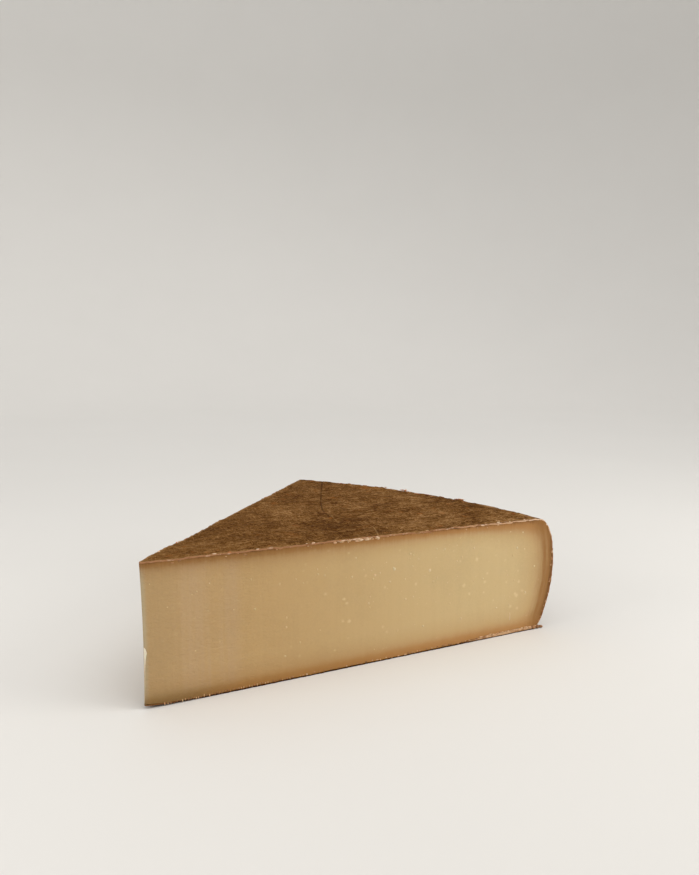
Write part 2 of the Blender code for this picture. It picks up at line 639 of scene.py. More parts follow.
class Bench:
    """A new material with a Principled shader, and short calls that add its nodes."""

    def __init__(self, name: str) -> None:
        """Makes the material and keeps its tree, shader and Object coordinates.

        Args:
            name: the material's name.
        """
        self.material = bpy.data.materials.new(name)
        self.material.use_nodes = True
        self.tree = self.material.node_tree
        self.shader = self.tree.nodes["Principled BSDF"]
        self.place = self.out("TexCoord", {}, "Object")

    def feed(self, node: bpy.types.Node, inputs: dict) -> None:
        """Links signals to a node's inputs, and sets plain values on the others that are named.

        Args:
            node: the node.
            inputs: what goes into each input.
        """
        for key, given in inputs.items():
            if isinstance(given, Signal):
                self.tree.links.new(given.socket, node.inputs[key])
            else:
                node.inputs[key].default_value = given

    def node(self, kind: str, inputs: dict, **settings: object) -> bpy.types.Node:
        """Adds a node with these inputs and settings.

        Args:
            kind: its type, without the usual prefix.
            inputs: what goes into it.
            settings: its properties.

        Returns:
            The node.
        """
        node = self.tree.nodes.new(f"ShaderNode{kind}")
        for name, value in settings.items():
            setattr(node, name, value)
        self.feed(node, inputs)
        return node

    def out(self, kind: str, inputs: dict, output: int | str = 0, **settings: object) -> Signal:
        """Adds a node and gives one of its outputs."""
        return Signal(self, self.node(kind, inputs, **settings).outputs[output])

    def attribute(self, name: str, output: str = "Fac") -> Signal:
        """A named value that the mesh keeps."""
        return self.out("Attribute", {}, output, attribute_name=name)

    def axes(self, vector: Signal) -> tuple[Signal, ...]:
        """The three parts of a vector."""
        node = self.node("SeparateXYZ", {0: vector})
        return tuple(Signal(self, socket) for socket in node.outputs)

    def stretched(self, sizes: Size, turn: float) -> Signal:
        """Object coordinates turned about Z, then measured in units of these sizes."""
        turned = self.out("Mapping", {"Vector": self.place, "Rotation": (0, 0, turn)})
        return self.out("Mapping", {"Vector": turned, "Scale": tuple(1 / size for size in sizes)})

    def noise(self, grain: Grain, vector: Signal | None = None) -> Signal:
        """Noise of 0 to 1 in the object, or in a vector whose units stand for its lumps.

        Args:
            grain: the noise.
            vector: places to take it at, if not the object's.

        Returns:
            The noise.
        """
        if isinstance(grain.size, tuple):
            vector = self.stretched(grain.size, grain.turn)
        return self.out("TexNoise", {
            "Vector": vector or self.place,
            "Scale": 1.0 if vector else 1 / grain.size,
            "Detail": grain.detail,
            "Roughness": grain.roughness,
            "Distortion": grain.distortion,
        }, "Fac")

    def cells(self, size: float) -> Signal:
        """Distance from the middles of cells of this size, where 1 is a cell's size."""
        return self.out("TexVoronoi", {"Vector": self.place, "Scale": 1 / size}, "Distance")

    def maths(self, operation: str, *values: Term) -> Signal:
        """One Math node."""
        return self.out("Math", dict(enumerate(values)), operation=operation)

    def ramp(self, value: Signal, stops: Stops) -> Signal:
        """Colours along a value.

        Args:
            value: the value.
            stops: places and colours.

        Returns:
            The colour.
        """
        node = self.node("ValToRGB", {0: value})
        elements = node.color_ramp.elements
        while len(elements) < len(stops):
            elements.new(0.5)
        for element, (position, colour) in zip(elements, stops):
            element.position, element.color = position, colour
        return Signal(self, node.outputs[0])

    def mixed(self, share: Term, first: Tint, second: Tint, blend: str = "MIX") -> Signal:
        """Two colours, mixed."""
        inputs = {0: share, 6: first, 7: second}
        return self.out("Mix", inputs, 2, data_type="RGBA", blend_type=blend)

    def bump(self, height: Signal, depth: float, below: Signal | None = None) -> Signal:
        """Relief of this depth in metres, on top of another bump."""
        inputs = {"Distance": depth, "Height": height}
        return self.out("Bump", inputs if below is None else inputs | {"Normal": below})

    def finish(self, colour: Tint, roughness: Term, normal: Signal | None = None,
               **plain: float | Size) -> bpy.types.Material:
        """Wires the shader.

        Args:
            colour: the base colour.
            roughness: the roughness.
            normal: the last bump, if any.
            plain: values set on the shader's own sockets, named with _ for a space.

        Returns:
            The finished material.
        """
        inputs = {"Base Color": colour, "Roughness": roughness}
        if normal is not None:
            inputs["Normal"] = normal
        inputs |= {name.replace("_", " "): given for name, given in plain.items()}
        self.feed(self.shader, inputs)
        return self.material


class Finish:
    """A look of the cheese. Each kind makes its own material."""

    def make(self) -> bpy.types.Material:
        """The material."""
        raise NotImplementedError


@dataclass(frozen=True)
class PasteFinish(Finish):
    """Ivory cheese paste: waxy, marked by the wire, dimpled near the tip, browner under the rind.

    Its colour holds painted light too: the paste and the brown under the rind are painted darker
    towards the tip and paler towards the heel, as the light falls off, the tip's rounded edge has
    painted light on it, and the foot near the tip has painted shade.

    Places along the cut are distances from the tip. A range of four says where a change starts and
    ends, and what it starts and ends with.
    """

    # The paste colours at the tip, near the tip and near the heel hold painted light: the paste is
    # painted darker towards the tip and paler towards the heel, as the light falls off towards the
    # tip.
    at_tip: Colour = paint(183, 152, 107)
    near_tip: Colour = paint(190, 157, 108)
    near_heel: Colour = paint(204, 179, 132)
    tip_change: Range = (0.012, 0.045)
    heel_change: Range = (0.045, 0.29)
    # Painted light: a pale grey strip where the tip's rounded edge catches the light.
    lit_tip_strip: Colour = paint(182, 165, 134)
    lit_tip_strip_fade: Change = (0.0008, 0.0046, 0.9, 0.0)
    wire_tint: Colour = paint(188, 157, 116)
    wire_starts: Range = (0.012, 0.032)
    wire_ends: Range = (0.060, 0.072)
    wire_streaks: Change = (0.38, 0.60, 0.25, 1.0)
    blotch: Colour = paint(232, 212, 166)
    blotch_cell: float = 0.0085
    blotch_size: Grain = Grain(0.030, 2.0)
    blotch_sizes: Range = (0.55, -0.12)
    blotch_edge: Grain = Grain(0.0020, 2.0, weight=0.30)
    blotch_fade: Change = (-0.18, 0.06, 0.0, 0.44)
    blotch_places: Change = (0.07, 0.15, 0.15, 1.0)
    # The browns below are darker towards the tip and paler towards the heel, partly painted light
    # that falls off towards the tip.
    brown_near_tip: Colour = paint(141, 96, 43)
    brown_near_heel: Colour = paint(163, 111, 54)
    base_brown: Colour = paint(158, 112, 55)
    base_brown_near_heel: Colour = paint(173, 122, 66)
    brown_change: Range = (0.06, 0.26)
    heel_brown: Colour = paint(145, 98, 44)
    deepest: Colour = paint(116, 72, 26)
    deepest_depth: Range = (0.02, 0.46)
    deepest_at_heel: Range = (0.02, 0.40)
    base_depth: Range = (1.0, 3.0)
    heel_depth: Range = (0.5, 1.8)
    # The foot near the tip is painted darker, partly as painted shade.
    foot_at_tip: Colour = paint(131, 98, 50)
    foot_depth: Range = (1.0, 2.5)
    foot_fade: Range = (0.02, 0.075)
    width_change: Range = (0.16, 0.31)
    under_top: Range = (0.0058, 0.0084)
    under_top_at_tip: Change = (0.03, 0.09, 0.0050, 0.0058)
    under_top_at_heel: tuple[Change, ...] = ((0.265, 0.300, 0.0, 0.0020),
                                             (0.300, 0.330, 0.0, 0.0036))
    above_base: Range = (0.0074, 0.0088)
    under_heel: float = 0.0135
    corner: float = 2.2
    ragged: Grain = Grain(0.007, 4.0, 0.6, weight=0.0026)
    fingers: Grain = Grain((0.0012, 0.0012, 0.018), 2.0, 0.6, weight=0.0026)
    heel_bend: Grain = Grain(0.022, 2.0, weight=0.004)
    heel_line: float = 0.0095
    heel_line_fade: Change = (0.0, 0.0024, -0.32, 0.0)
    heel_line_grain: Grain = Grain(0.014)
    heel_line_gaps: Change = (0.36, 0.60, 0.25, 1.0)
    heel_light: float = 0.0062
    heel_light_fade: Change = (0.0, 0.0022, 0.30, 0.0)
    heel_light_heights: Range = (0.040, 0.070)
    heel_streak: Range = (0.0021, 0.026)
    heel_streak_grain: Grain = Grain(1.0, 3.0, 0.6)
    heel_streak_tone: Change = (0.3, 0.7, -0.09, 0.09)
    heel_streak_fade: Range = (0.010, 0.026)
    fade: tuple[Range, ...] = ((0.0, 1.0), (0.5, 0.89), (0.75, 0.78), (1.0, 0.56), (1.25, 0.39),
                               (1.5, 0.28), (2.0, 0.15), (2.5, 0.07), (3.2, 0.0))
    fine_streak: Grain = Grain((0.0022, 0.0022, 0.060), 2.0, 0.5, weight=0.42)
    broad_streak: Grain = Grain((0.012, 0.012, 0.20), 2.0, 0.5, weight=0.58)
    streak_fade: Change = (0.055, 0.110, 1.0, 0.35)
    streak_weight: float = 0.8
    streak_depth: float = 0.18 * MM
    lump: Grain = Grain(0.050)
    dimple: Grain = Grain(0.0016, 2.0, weight=0.60)
    cloud: Grain = Grain(0.0046, 2.0, weight=0.24)
    lights: Change = (0.97, 1.67, 0.945, 1.045)
    ripple: Grain = Grain((0.0036, 0.0036, 0.0023), 2.0, 0.6, 0.5)
    ripple_fade: Change = (0.070, 0.115, 1.0, 0.2)
    ripple_depth: float = 0.44 * MM
    sheen: Grain = Grain(0.004)
    sheens: Change = (0.3, 0.7, 0.42, 0.56)

    def heel_layers(self, bench: Bench, inward: Signal, up: Signal) -> Signal:
        """How much deeper or shallower the brown reads under the heel.

        Args:
            bench: the material.
            inward: distance in from the heel.
            up: distance up from the base.

        Returns:
            What a dark line, a light layer and streaks along the heel add to the depth.
        """
        inward = inward + bench.noise(self.heel_bend).swung(self.heel_bend.weight)
        off_line = inward.off(self.heel_line)
        broken = bench.noise(self.heel_line_grain).spread(*self.heel_line_gaps)
        line = off_line.spread(*self.heel_line_fade) * broken
        off_light = inward.off(self.heel_light)
        light = off_light.spread(*self.heel_light_fade) * up.spread(*self.heel_light_heights)
        across, tall = self.heel_streak
        layers = bench.out("CombineXYZ", {0: inward / across, 1: up / tall})
        streak = bench.noise(self.heel_streak_grain, layers).spread(*self.heel_streak_tone)
        streak = streak * inward.faded(*self.heel_streak_fade)
        return line + (light + streak)

    def depth(self, bench: Bench) -> tuple[Signal, Signal, Signal]:
        """How deep under the rind the paste lies, where 1 is half faded.

        Args:
            bench: the material.

        Returns:
            The depth in all, the depth from the base and that from the heel.
        """
        down, inward, up = bench.axes(bench.attribute("rind_distance", "Vector"))
        from_tip = bench.attribute("from_tip")
        ragged = bench.noise(self.ragged).swung(self.ragged.weight)
        fingers = bench.noise(self.fingers).swung(self.fingers.weight)
        top_width = from_tip.spread(*self.width_change, *self.under_top)
        top_width = top_width.least(from_tip.spread(*self.under_top_at_tip))
        for step in self.under_top_at_heel:
            top_width = top_width + from_tip.spread(*step)
        base_width = from_tip.spread(*self.width_change, *self.above_base)
        top = (down + ragged + fingers) / top_width
        base = (up + ragged) / base_width
        heel = (inward + ragged) / self.under_heel
        heel = heel + self.heel_layers(bench, inward, up)
        nearest = top.soft_least(heel, self.corner).soft_least(base, self.corner)
        return nearest, base, heel

    def browned(self, bench: Bench, clean: Signal) -> Signal:
        """The paste's colour with the brown that the rind has given it.

        Args:
            bench: the material.
            clean: the paste's colour well inside the rind.

        Returns:
            The colour everywhere.
        """
        depth, base, heel = self.depth(bench)
        reach = self.fade[-1][0]
        stops = tuple((at / reach, (grey, grey, grey, 1.0)) for at, grey in self.fade)
        share = bench.ramp(depth / reach, stops)
        along = bench.attribute("from_tip").spread(*self.brown_change)
        # Painted light in part: the brown under the rind, and that above the base, darkens towards
        # the tip.
        brown = bench.mixed(along, self.brown_near_tip, self.brown_near_heel)
        brown = bench.mixed(depth.spread(*self.deepest_depth), self.deepest, brown)
        brown = bench.mixed(base.faded(*self.base_depth), brown,
                            bench.mixed(along, self.base_brown, self.base_brown_near_heel))
        under_heel = heel.faded(*self.heel_depth)
        brown = bench.mixed(under_heel, brown, bench.mixed(heel.spread(*self.deepest_at_heel),
                                                           self.deepest, self.heel_brown))
        # Painted shade in part: the paste darkens at the foot near the tip.
        foot = base.faded(*self.foot_depth) * bench.attribute("from_tip").faded(*self.foot_fade)
        brown = bench.mixed(foot, brown, self.foot_at_tip)
        return bench.mixed(share, clean, brown)

    def streaks(self, bench: Bench) -> Signal:
        """Upright marks that the wire left, clearest near the tip, about 0.5.

        Args:
            bench: the material.

        Returns:
            The marks.
        """
        fine, broad = bench.noise(self.fine_streak), bench.noise(self.broad_streak)
        both = fine.scaled(self.fine_streak.weight, broad * self.broad_streak.weight)
        fade = bench.attribute("from_tip").spread(*self.streak_fade)
        return (both - 0.5).scaled(fade, 0.5)

    def clean(self, bench: Bench, streaks: Signal) -> Signal:
        """Colour of the paste well inside the rind.

        Args:
            bench: the material.
            streaks: the wire's marks.

        Returns:
            The colour, painted darker towards the tip as shade, with the wire's tint, painted light
            on the tip's rounded edge, light lumps and pale blotches.
        """
        from_tip = bench.attribute("from_tip")
        # Painted light: the paste is painted darker towards the tip and paler towards the heel.
        colour = bench.mixed(from_tip.spread(*self.heel_change), self.near_tip, self.near_heel)
        colour = bench.mixed(from_tip.spread(*self.tip_change), self.at_tip, colour)
        inside = from_tip.spread(*self.wire_starts) * from_tip.faded(*self.wire_ends)
        colour = bench.mixed(inside * streaks.spread(*self.wire_streaks), colour, self.wire_tint)
        # Painted light on the tip's rounded edge.
        colour = bench.mixed(from_tip.spread(*self.lit_tip_strip_fade), colour, self.lit_tip_strip)
        tone = bench.noise(self.lump) + streaks * self.streak_weight
        for grain in (self.dimple, self.cloud):
            tone = tone + bench.noise(grain) * grain.weight
        light = bench.mixed(tone.spread(*self.lights), (0, 0, 0, 1), (1, 1, 1, 1))
        colour = bench.mixed(1.0, colour, light, "MULTIPLY")
        middles = bench.cells(self.blotch_cell)
        size = bench.noise(self.blotch_size).scaled(*self.blotch_sizes)
        near = size - bench.noise(self.blotch_edge).scaled(self.blotch_edge.weight, middles)
        spot = near.spread(*self.blotch_fade) * from_tip.spread(*self.blotch_places)
        return bench.mixed(spot, colour, self.blotch)

    def relief(self, bench: Bench, streaks: Signal) -> Signal:
        """Bumps of the cut: upright marks all over, and ripples that are deepest near the tip.

        Args:
            bench: the material.
            streaks: the wire's marks.

        Returns:
            The bump.
        """
        marks = bench.bump(streaks, self.streak_depth)
        near_tip = bench.attribute("from_tip").spread(*self.ripple_fade)
        return bench.bump(bench.noise(self.ripple) * near_tip, self.ripple_depth, marks)

    def make(self) -> bpy.types.Material:
        """The material.

        Returns:
            The finished material.
        """
        bench = Bench("paste")
        streaks = self.streaks(bench)
        colour = self.browned(bench, self.clean(bench, streaks))
        rough = bench.noise(self.sheen).spread(*self.sheens)
        return bench.finish(colour, rough, self.relief(bench, streaks), Subsurface_Weight=0.25,
                            Subsurface_Radius=(1.0, 0.75, 0.45), Subsurface_Scale=0.0020,
                            Specular_IOR_Level=0.25)


@dataclass(frozen=True)
class RindFinish(Finish):
    """Brushed brown rind: felted, mottled and stained, creased, and worn pale at its edges.

    The crease's dark brown is painted shade in its groove.
    """

    tones: Stops = (
        (0.30, paint(60, 32, 6)),
        (0.43, paint(87, 54, 18)),
        (0.55, paint(116, 80, 40)),
        (0.66, paint(145, 107, 65)),
        (0.84, paint(186, 148, 108)),
    )
    patch: Grain = Grain(0.050, 3.0, 0.5, 0.4, weight=0.20)
    blotch: Grain = Grain(0.013, 4.0, 0.6, 0.6, weight=0.34)
    mottle: Grain = Grain(0.0042, 5.0, 0.7, 0.8, weight=0.42)
    grain: Grain = Grain(0.0016, 3.0, 0.7, 0.4, weight=0.56)
    brushing: Grain = Grain((0.034, 0.0026, 0.0026), 3.0, 0.6, 0.3, turn=-0.16, weight=0.34)
    stain_weight: float = 0.075
    hair: Size = (0.012, 0.0009, 0.0009)
    hair_turns: tuple[float, ...] = (0.2, 0.95, 1.7, 2.5)
    shift: float = -1.02
    middle: float = 0.53
    calm_at_tip: Change = (-0.15, -0.03, 0.68, 1.0)
    rust: Colour = paint(126, 70, 22)
    pale_rust: Colour = paint(170, 106, 50)
    rust_grain: Grain = Grain(0.012, 4.0, 0.65)
    rust_fade: Change = (0.58, 0.74, 0.0, 0.5)
    worn: Colour = paint(188, 148, 104)
    # Painted shade: the crease's groove is painted dark brown.
    crease: Colour = paint(58, 32, 8)
    scratch: Colour = paint(186, 148, 98)
    mottle_depth: float = 0.60 * MM
    hair_depth: float = 0.34 * MM
    grit: Grain = Grain(0.0009, 3.0, 0.65)
    grit_depth: float = 0.18 * MM
    roughness: Change = (0.35, 0.65, 0.95, 0.82)

    def fibres(self, bench: Bench) -> Signal:
        """Short crossing hairs, as in felt."""
        hairs = [bench.noise(Grain(self.hair, 2.0, 0.6, 0.5, turn)) for turn in self.hair_turns]
        return reduce(Signal.most, hairs)

    def tone(self, bench: Bench, mottle: Signal, fibres: Signal) -> Signal:
        """How light the rind is, from its noises at every scale and its stains.

        Args:
            bench: the material.
            mottle: the noise that its relief shares.
            fibres: the hairs.

        Returns:
            The place in the row of tones, calmer towards the tip.
        """
        parts = (
            (bench.noise(self.patch), self.patch.weight),
            (bench.noise(self.blotch), self.blotch.weight),
            (mottle, self.mottle.weight),
            (bench.noise(self.grain), self.grain.weight),
            (bench.noise(self.brushing), self.brushing.weight),
            (bench.attribute("stain"), self.stain_weight),
        )
        total = fibres.scaled(1.0, self.shift)
        for value, weight in parts:
            total = value.scaled(weight, total)
        calm = bench.axes(bench.place)[0].spread(*self.calm_at_tip)
        return (total - self.middle).scaled(calm, self.middle)

    def make(self) -> bpy.types.Material:
        """The material.

        Returns:
            The finished material.
        """
        bench = Bench("rind")
        mottle = bench.noise(self.mottle)
        fibres = self.fibres(bench)
        tone = self.tone(bench, mottle, fibres)
        colour = bench.ramp(tone, self.tones)
        rusty = bench.noise(self.rust_grain).spread(*self.rust_fade)
        rusty = rusty.most(bench.attribute("rust_spot"))
        colour = bench.mixed(rusty, colour, bench.mixed(tone, self.rust, self.pale_rust))
        # The crease's tint is painted shade in its groove; wear and scratches are the rind's own
        # colour.
        for name, tint in (("worn", self.worn), ("crease", self.crease), ("scratch", self.scratch)):
            colour = bench.mixed(bench.attribute(name), colour, tint)
        relief = bench.bump(mottle, self.mottle_depth)
        relief = bench.bump(fibres, self.hair_depth, relief)
        relief = bench.bump(bench.noise(self.grit), self.grit_depth, relief)
        return bench.finish(colour, mottle.spread(*self.roughness), relief, Specular_IOR_Level=0.04)


@dataclass(frozen=True)
class RindEdgeFinish(Finish):
    """The rind's own thickness where the wire tore it.

    It is pinkish above, and paler towards the heel and round the heel's shoulder by painted light;
    its pale patches above are partly dry rind and partly painted highlight. It is browner at the
    heel, and dark below: partly the rind's dark outer skin, partly painted contact shadow. Lengths
    lie along X, heights along Z.
    """

    # Dark line at the foot: partly the rind's dark outer skin, partly painted contact shadow.
    skin_and_contact_shadow: Colour = paint(54, 26, 8)
    skin_and_shadow_heights: Range = (0.0018, 0.0025)
    skin_and_shadow_grain: Grain = Grain(0.0030, weight=0.0010)
    skin_and_shadow_thinner: Change = (0.050, 0.100, 0.0, 0.0008)
    foot: Colour = paint(126, 84, 46)
    foot_near_heel: Colour = paint(206, 166, 126)
    foot_lengths: Range = (0.080, 0.105)
    foot_heights: Range = (0.004, 0.012)
    heel: Colour = paint(146, 100, 56)
    # The upper edge's pinkish colour, with painted light that grows towards the heel.
    near_tip: Colour = paint(170, 122, 86)
    near_heel: Colour = paint(202, 160, 124)
    top_lengths: Range = (0.050, 0.110)
    top_heights: Range = (0.072, 0.088)
    deep: Colour = paint(128, 82, 46)
    deep_grain: Grain = Grain(0.0060, 4.0, 0.6)
    deep_fade: Change = (0.50, 0.68, 0.0, 0.7)
    # Pale patches along the upper edge, partly dry rind and partly painted highlight where the edge
    # catches the light; the two ranges after them paint a highlight round the heel's shoulder.
    dry_and_highlight: Colour = paint(232, 202, 174)
    dry_and_highlight_grain: Grain = Grain(0.0050, 4.0, 0.65)
    dry_and_highlight_fade: Range = (0.52, 0.68)
    dry_and_highlight_heights: Change = (0.074, 0.088, 0.25, 0.95)
    dry_and_highlight_lengths: Change = (-0.160, 0.090, 0.55, 1.0)
    shoulder_highlight_lengths: Change = (0.112, 0.146, 0.0, 0.62)
    shoulder_highlight_heights: Range = (0.087, 0.091)
    grit: Grain = Grain(0.0010, 4.0, 0.7)
    grit_depth: float = 0.30 * MM

    def make(self) -> bpy.types.Material:
        """The material.

        Returns:
            The finished material.
        """
        bench = Bench("rind_edge")
        x, _, z = bench.axes(bench.place)
        foot = bench.mixed(x.spread(*self.foot_lengths), self.foot, self.foot_near_heel)
        colour = bench.mixed(z.spread(*self.foot_heights), foot, self.heel)
        # Painted light: the upper edge is painted paler towards the heel.
        high = bench.mixed(x.spread(*self.top_lengths), self.near_tip, self.near_heel)
        colour = bench.mixed(z.spread(*self.top_heights), colour, high)
        dark = bench.noise(self.deep_grain).spread(*self.deep_fade)
        colour = bench.mixed(dark, colour, self.deep)
        # Pale patches on the upper edge, partly painted highlight, and a painted highlight round
        # the heel's shoulder.
        above = z.spread(*self.dry_and_highlight_heights)
        above = above * x.spread(*self.dry_and_highlight_lengths)
        pale = bench.noise(self.dry_and_highlight_grain).spread(*self.dry_and_highlight_fade) * above
        pale = pale.most(x.spread(*self.shoulder_highlight_lengths) * z.spread(*self.shoulder_highlight_heights))
        colour = bench.mixed(pale, colour, self.dry_and_highlight)
        # Partly painted contact shadow: the lowest millimetres of the edge are painted near
        # black-brown.
        thinner = x.spread(*self.skin_and_shadow_thinner)
        uneven = bench.noise(self.skin_and_shadow_grain).scaled(self.skin_and_shadow_grain.weight, z) + thinner
        colour = bench.mixed(uneven.spread(*self.skin_and_shadow_heights), self.skin_and_contact_shadow, colour)
        relief = bench.bump(bench.noise(self.grit), self.grit_depth)
        return bench.finish(colour, 0.80, relief, Specular_IOR_Level=0.08)


@dataclass(frozen=True)
class SpeckFinish(Finish):
    """Small things on the cheese, coloured by each one's tone: 0 is dark and 1 is pale."""

    name: str
    stops: Stops
    roughness: float
    uneven: Grain = Grain(0.0016, weight=0.5)
    grit: Grain = Grain(0.0006)
    grit_depth: float = 0.08 * MM

    def make(self) -> bpy.types.Material:
        """The material.

        Returns:
            The finished material.
        """
        bench = Bench(self.name)
        uneven = bench.noise(self.uneven).swung(self.uneven.weight)
        colour = bench.ramp(bench.attribute("tone") + uneven, self.stops)
        relief = bench.bump(bench.noise(self.grit), self.grit_depth)
        return bench.finish(colour, self.roughness, relief, Subsurface_Weight=0.2,
                            Subsurface_Scale=0.001)


@dataclass(frozen=True)
class FloorFinish(Finish):
    """Plain pale studio floor."""

    colour: Colour = (0.72, 0.71, 0.69, 1.0)
    lighter: Colour = (0.74, 0.73, 0.71, 1.0)
    cloud: Grain = Grain(0.4, 2.0)

    def make(self) -> bpy.types.Material:
        """The material.

        Returns:
            The finished material.
        """
        bench = Bench("studio_floor")
        tone = bench.mixed(bench.noise(self.cloud), self.colour, self.lighter)
        return bench.finish(tone, 0.9, Specular_IOR_Level=0.2)


# The cheese.


@dataclass
class Paste:
    """The cheese inside the rind, whose two cuts show.

    A divided cut face is fitted to the outline and spun about the wheel's axis. Then its tip is
    rounded. The fine columns lie within a few times the tip's radius.
    """

    wedge: Wedge
    columns: int = 210
    rows: int = 64
    turns: int = 20
    under_rind: float = 0.0009
    tip_rounding: float = 0.0006
    tip_columns: int = 8
    tip_reach: float = 3.0
    tip_fill: float = 0.5
    same_turn: float = 1e-6
    near_turn: float = 1e-4
    on_cut: float = 0.02 * MM
    margin: float = 0.012
    sharp: float = 40.0

    def cut_face(self) -> Piece:
        """A grid in the front cut's plane, each column at its share of the way to the heel.

        Returns:
            The grid.
        """
        face = upright_grid("paste", self.columns, self.rows, 2)
        points = points_of(face)
        along, up = (points[:, 0] + 1) / 2, (points[:, 2] + 1) / 2
        wedge = self.wedge
        height = self.under_rind + up * (wedge.height - 2 * self.under_rind)
        reach = wedge.heel(height, np.zeros(len(points))) - self.under_rind
        fine = self.tip_columns / self.columns
        tip_length = self.tip_reach * self.tip_rounding
        radius = np.where(along < fine, along / fine * tip_length,
                          tip_length + (along - fine) / (1 - fine) * (reach - tip_length))
        level = np.full(len(points), wedge.tip.y)
        move_points(face, np.column_stack((wedge.tip.x + radius, level, height)))
        return face

    def spin(self, piece: Piece) -> None:
        """Turns the cut face through the sector, a cut at each end, and welds the tip.

        Args:
            piece: the cut face.
        """
        with editing(piece, whole=True):
            bpy.ops.mesh.spin(steps=self.turns, angle=self.wedge.angle, center=self.wedge.tip,
                              axis=(0, 0, -1))
        face_out(piece, weld=WELD)

    def rounded(self, points: Array) -> Array:
        """Moves what lies near the tip's edge onto a small round.

        Args:
            points: places in the spun sector.

        Returns:
            The places, with those at the tip's edge on the round and those inside it pushed in.
        """
        half = self.wedge.angle / 2
        radius, turn = self.wedge.polar(points)
        reach = self.tip_rounding / math.tan(half)
        share = np.clip(radius / reach, 0, 1)
        side = np.sign(np.where(np.abs(turn - half) < self.same_turn, 0, turn - half))
        on_cut = np.abs(np.abs(turn - half) - half) < self.near_turn
        swing = share * (math.pi / 2 - half)
        out = self.tip_rounding / math.sin(half) - self.tip_rounding * np.cos(swing)
        aside = side * self.tip_rounding * np.sin(swing)
        bisector = np.array((math.cos(half), math.sin(half)))
        across = np.array((-math.sin(half), math.cos(half)))
        near = (radius < reach) & (on_cut | (radius < ON_AXIS))
        place = np.outer(out, bisector) + np.outer(aside, across)
        moved = points.copy()
        moved[near, :2] = np.array(self.wedge.tip)[:2] + place[near]
        inside = (radius < reach) & ~near
        shift = self.tip_fill * self.tip_rounding * (1 - share)
        moved[inside, :2] += np.outer(shift[inside], bisector)
        return moved

    def waved(self, points: Array) -> Array:
        """Gives the cuts the wire's shallow waves and upright ripples.

        Args:
            points: places, one row each.

        Returns:
            The places, moved along the cuts' normals.
        """
        moved = points.copy()
        for cut in Cut:
            on_cut = np.abs(self.wedge.to_cut(points, cut)) < self.on_cut
            where = points[on_cut]
            push = self.wedge.waves(self.wedge.polar(where)[0], where[:, 2], cut)
            moved[on_cut] += np.outer(push, self.wedge.normal(cut))
        return moved

    def rind_distance(self, points: Array) -> Array:
        """Distances down from the top, in from the heel and up from the base, in columns.

        Args:
            points: places, one row each.

        Returns:
            The three distances, one row for each place.
        """
        radius, turn = self.wedge.polar(points)
        level = np.clip(points[:, 2], self.margin, self.wedge.height - self.margin)
        down = self.wedge.top(radius, turn) - points[:, 2]
        return np.column_stack((down, self.wedge.heel(level, turn) - radius, points[:, 2]))

    def build(self) -> Piece:
        """Models and dresses the paste, one closed mesh.

        Returns:
            The paste.
        """
        piece = self.cut_face()
        self.spin(piece)
        settled = self.wedge.settled(self.waved(self.rounded(points_of(piece))))
        store(piece, "rind_distance", self.rind_distance(settled))
        store(piece, "from_tip", self.wedge.polar(settled)[0])
        move_points(piece, self.wedge.drifted(self.wedge.lifted(settled)))
        return finished(piece, PasteFinish(), sharp=self.sharp)


@dataclass(frozen=True)
class Mark:
    """A thin line on the top of the rind, smooth through places measured from the tip."""

    places: tuple[Range, ...]
    width: float
    strength: float

    def path(self, wedge: Wedge, steps: int = 8) -> Array:
        """Places along the line, in x and y.

        Args:
            wedge: gives the tip.
            steps: how many places for each stretch of the line.

        Returns:
            The places, one row each.
        """
        knots = np.array(self.places) + np.array((wedge.tip.x, wedge.tip.y))
        padded = np.vstack((2 * knots[:1] - knots[1:2], knots, 2 * knots[-1:] - knots[-2:-1]))
        share = np.linspace(0, 1, steps, endpoint=False)[:, None]
        line = []
        for before, first, last, after in zip(padded, padded[1:], padded[2:], padded[3:]):
            bend = 2 * before - 5 * first + 4 * last - after
            twist = 3 * first - before - 3 * last + after
            line.append(first + 0.5 * share * (last - before + share * (bend + share * twist)))
        return np.vstack((*line, knots[-1:]))

    def distance(self, wedge: Wedge, points: Array) -> Array:
        """How far points lie from the line, seen from above.

        Args:
            wedge: gives the tip.
            points: places, one row each.

        Returns:
            The distances.
        """
        path = self.path(wedge)
        nearest = np.full(len(points), np.inf)
        for first, last in zip(path, path[1:]):
            run = last - first
            share = np.clip((points[:, :2] - first) @ run / (run @ run), 0, 1)
            away = points[:, :2] - first - np.outer(share, run)
            nearest = np.minimum(nearest, np.hypot(away[:, 0], away[:, 1]))
        return nearest


@dataclass(frozen=True)
class Stain:
    """A soft patch on the top of the rind."""

    radius: float
    degrees: float
    length: float
    breadth: float
    strength: float

    def share(self, radius: Array, turn: Array) -> Array:
        """How strong the patch is at many places.

        Args:
            radius: distances from the axis.
            turn: angles from the front cut.

        Returns:
            The strengths.
        """
        along = (radius - self.radius) / self.length
        across = radius * (turn - math.radians(self.degrees)) / self.breadth
        return self.strength * np.exp(-along**2 - across**2)


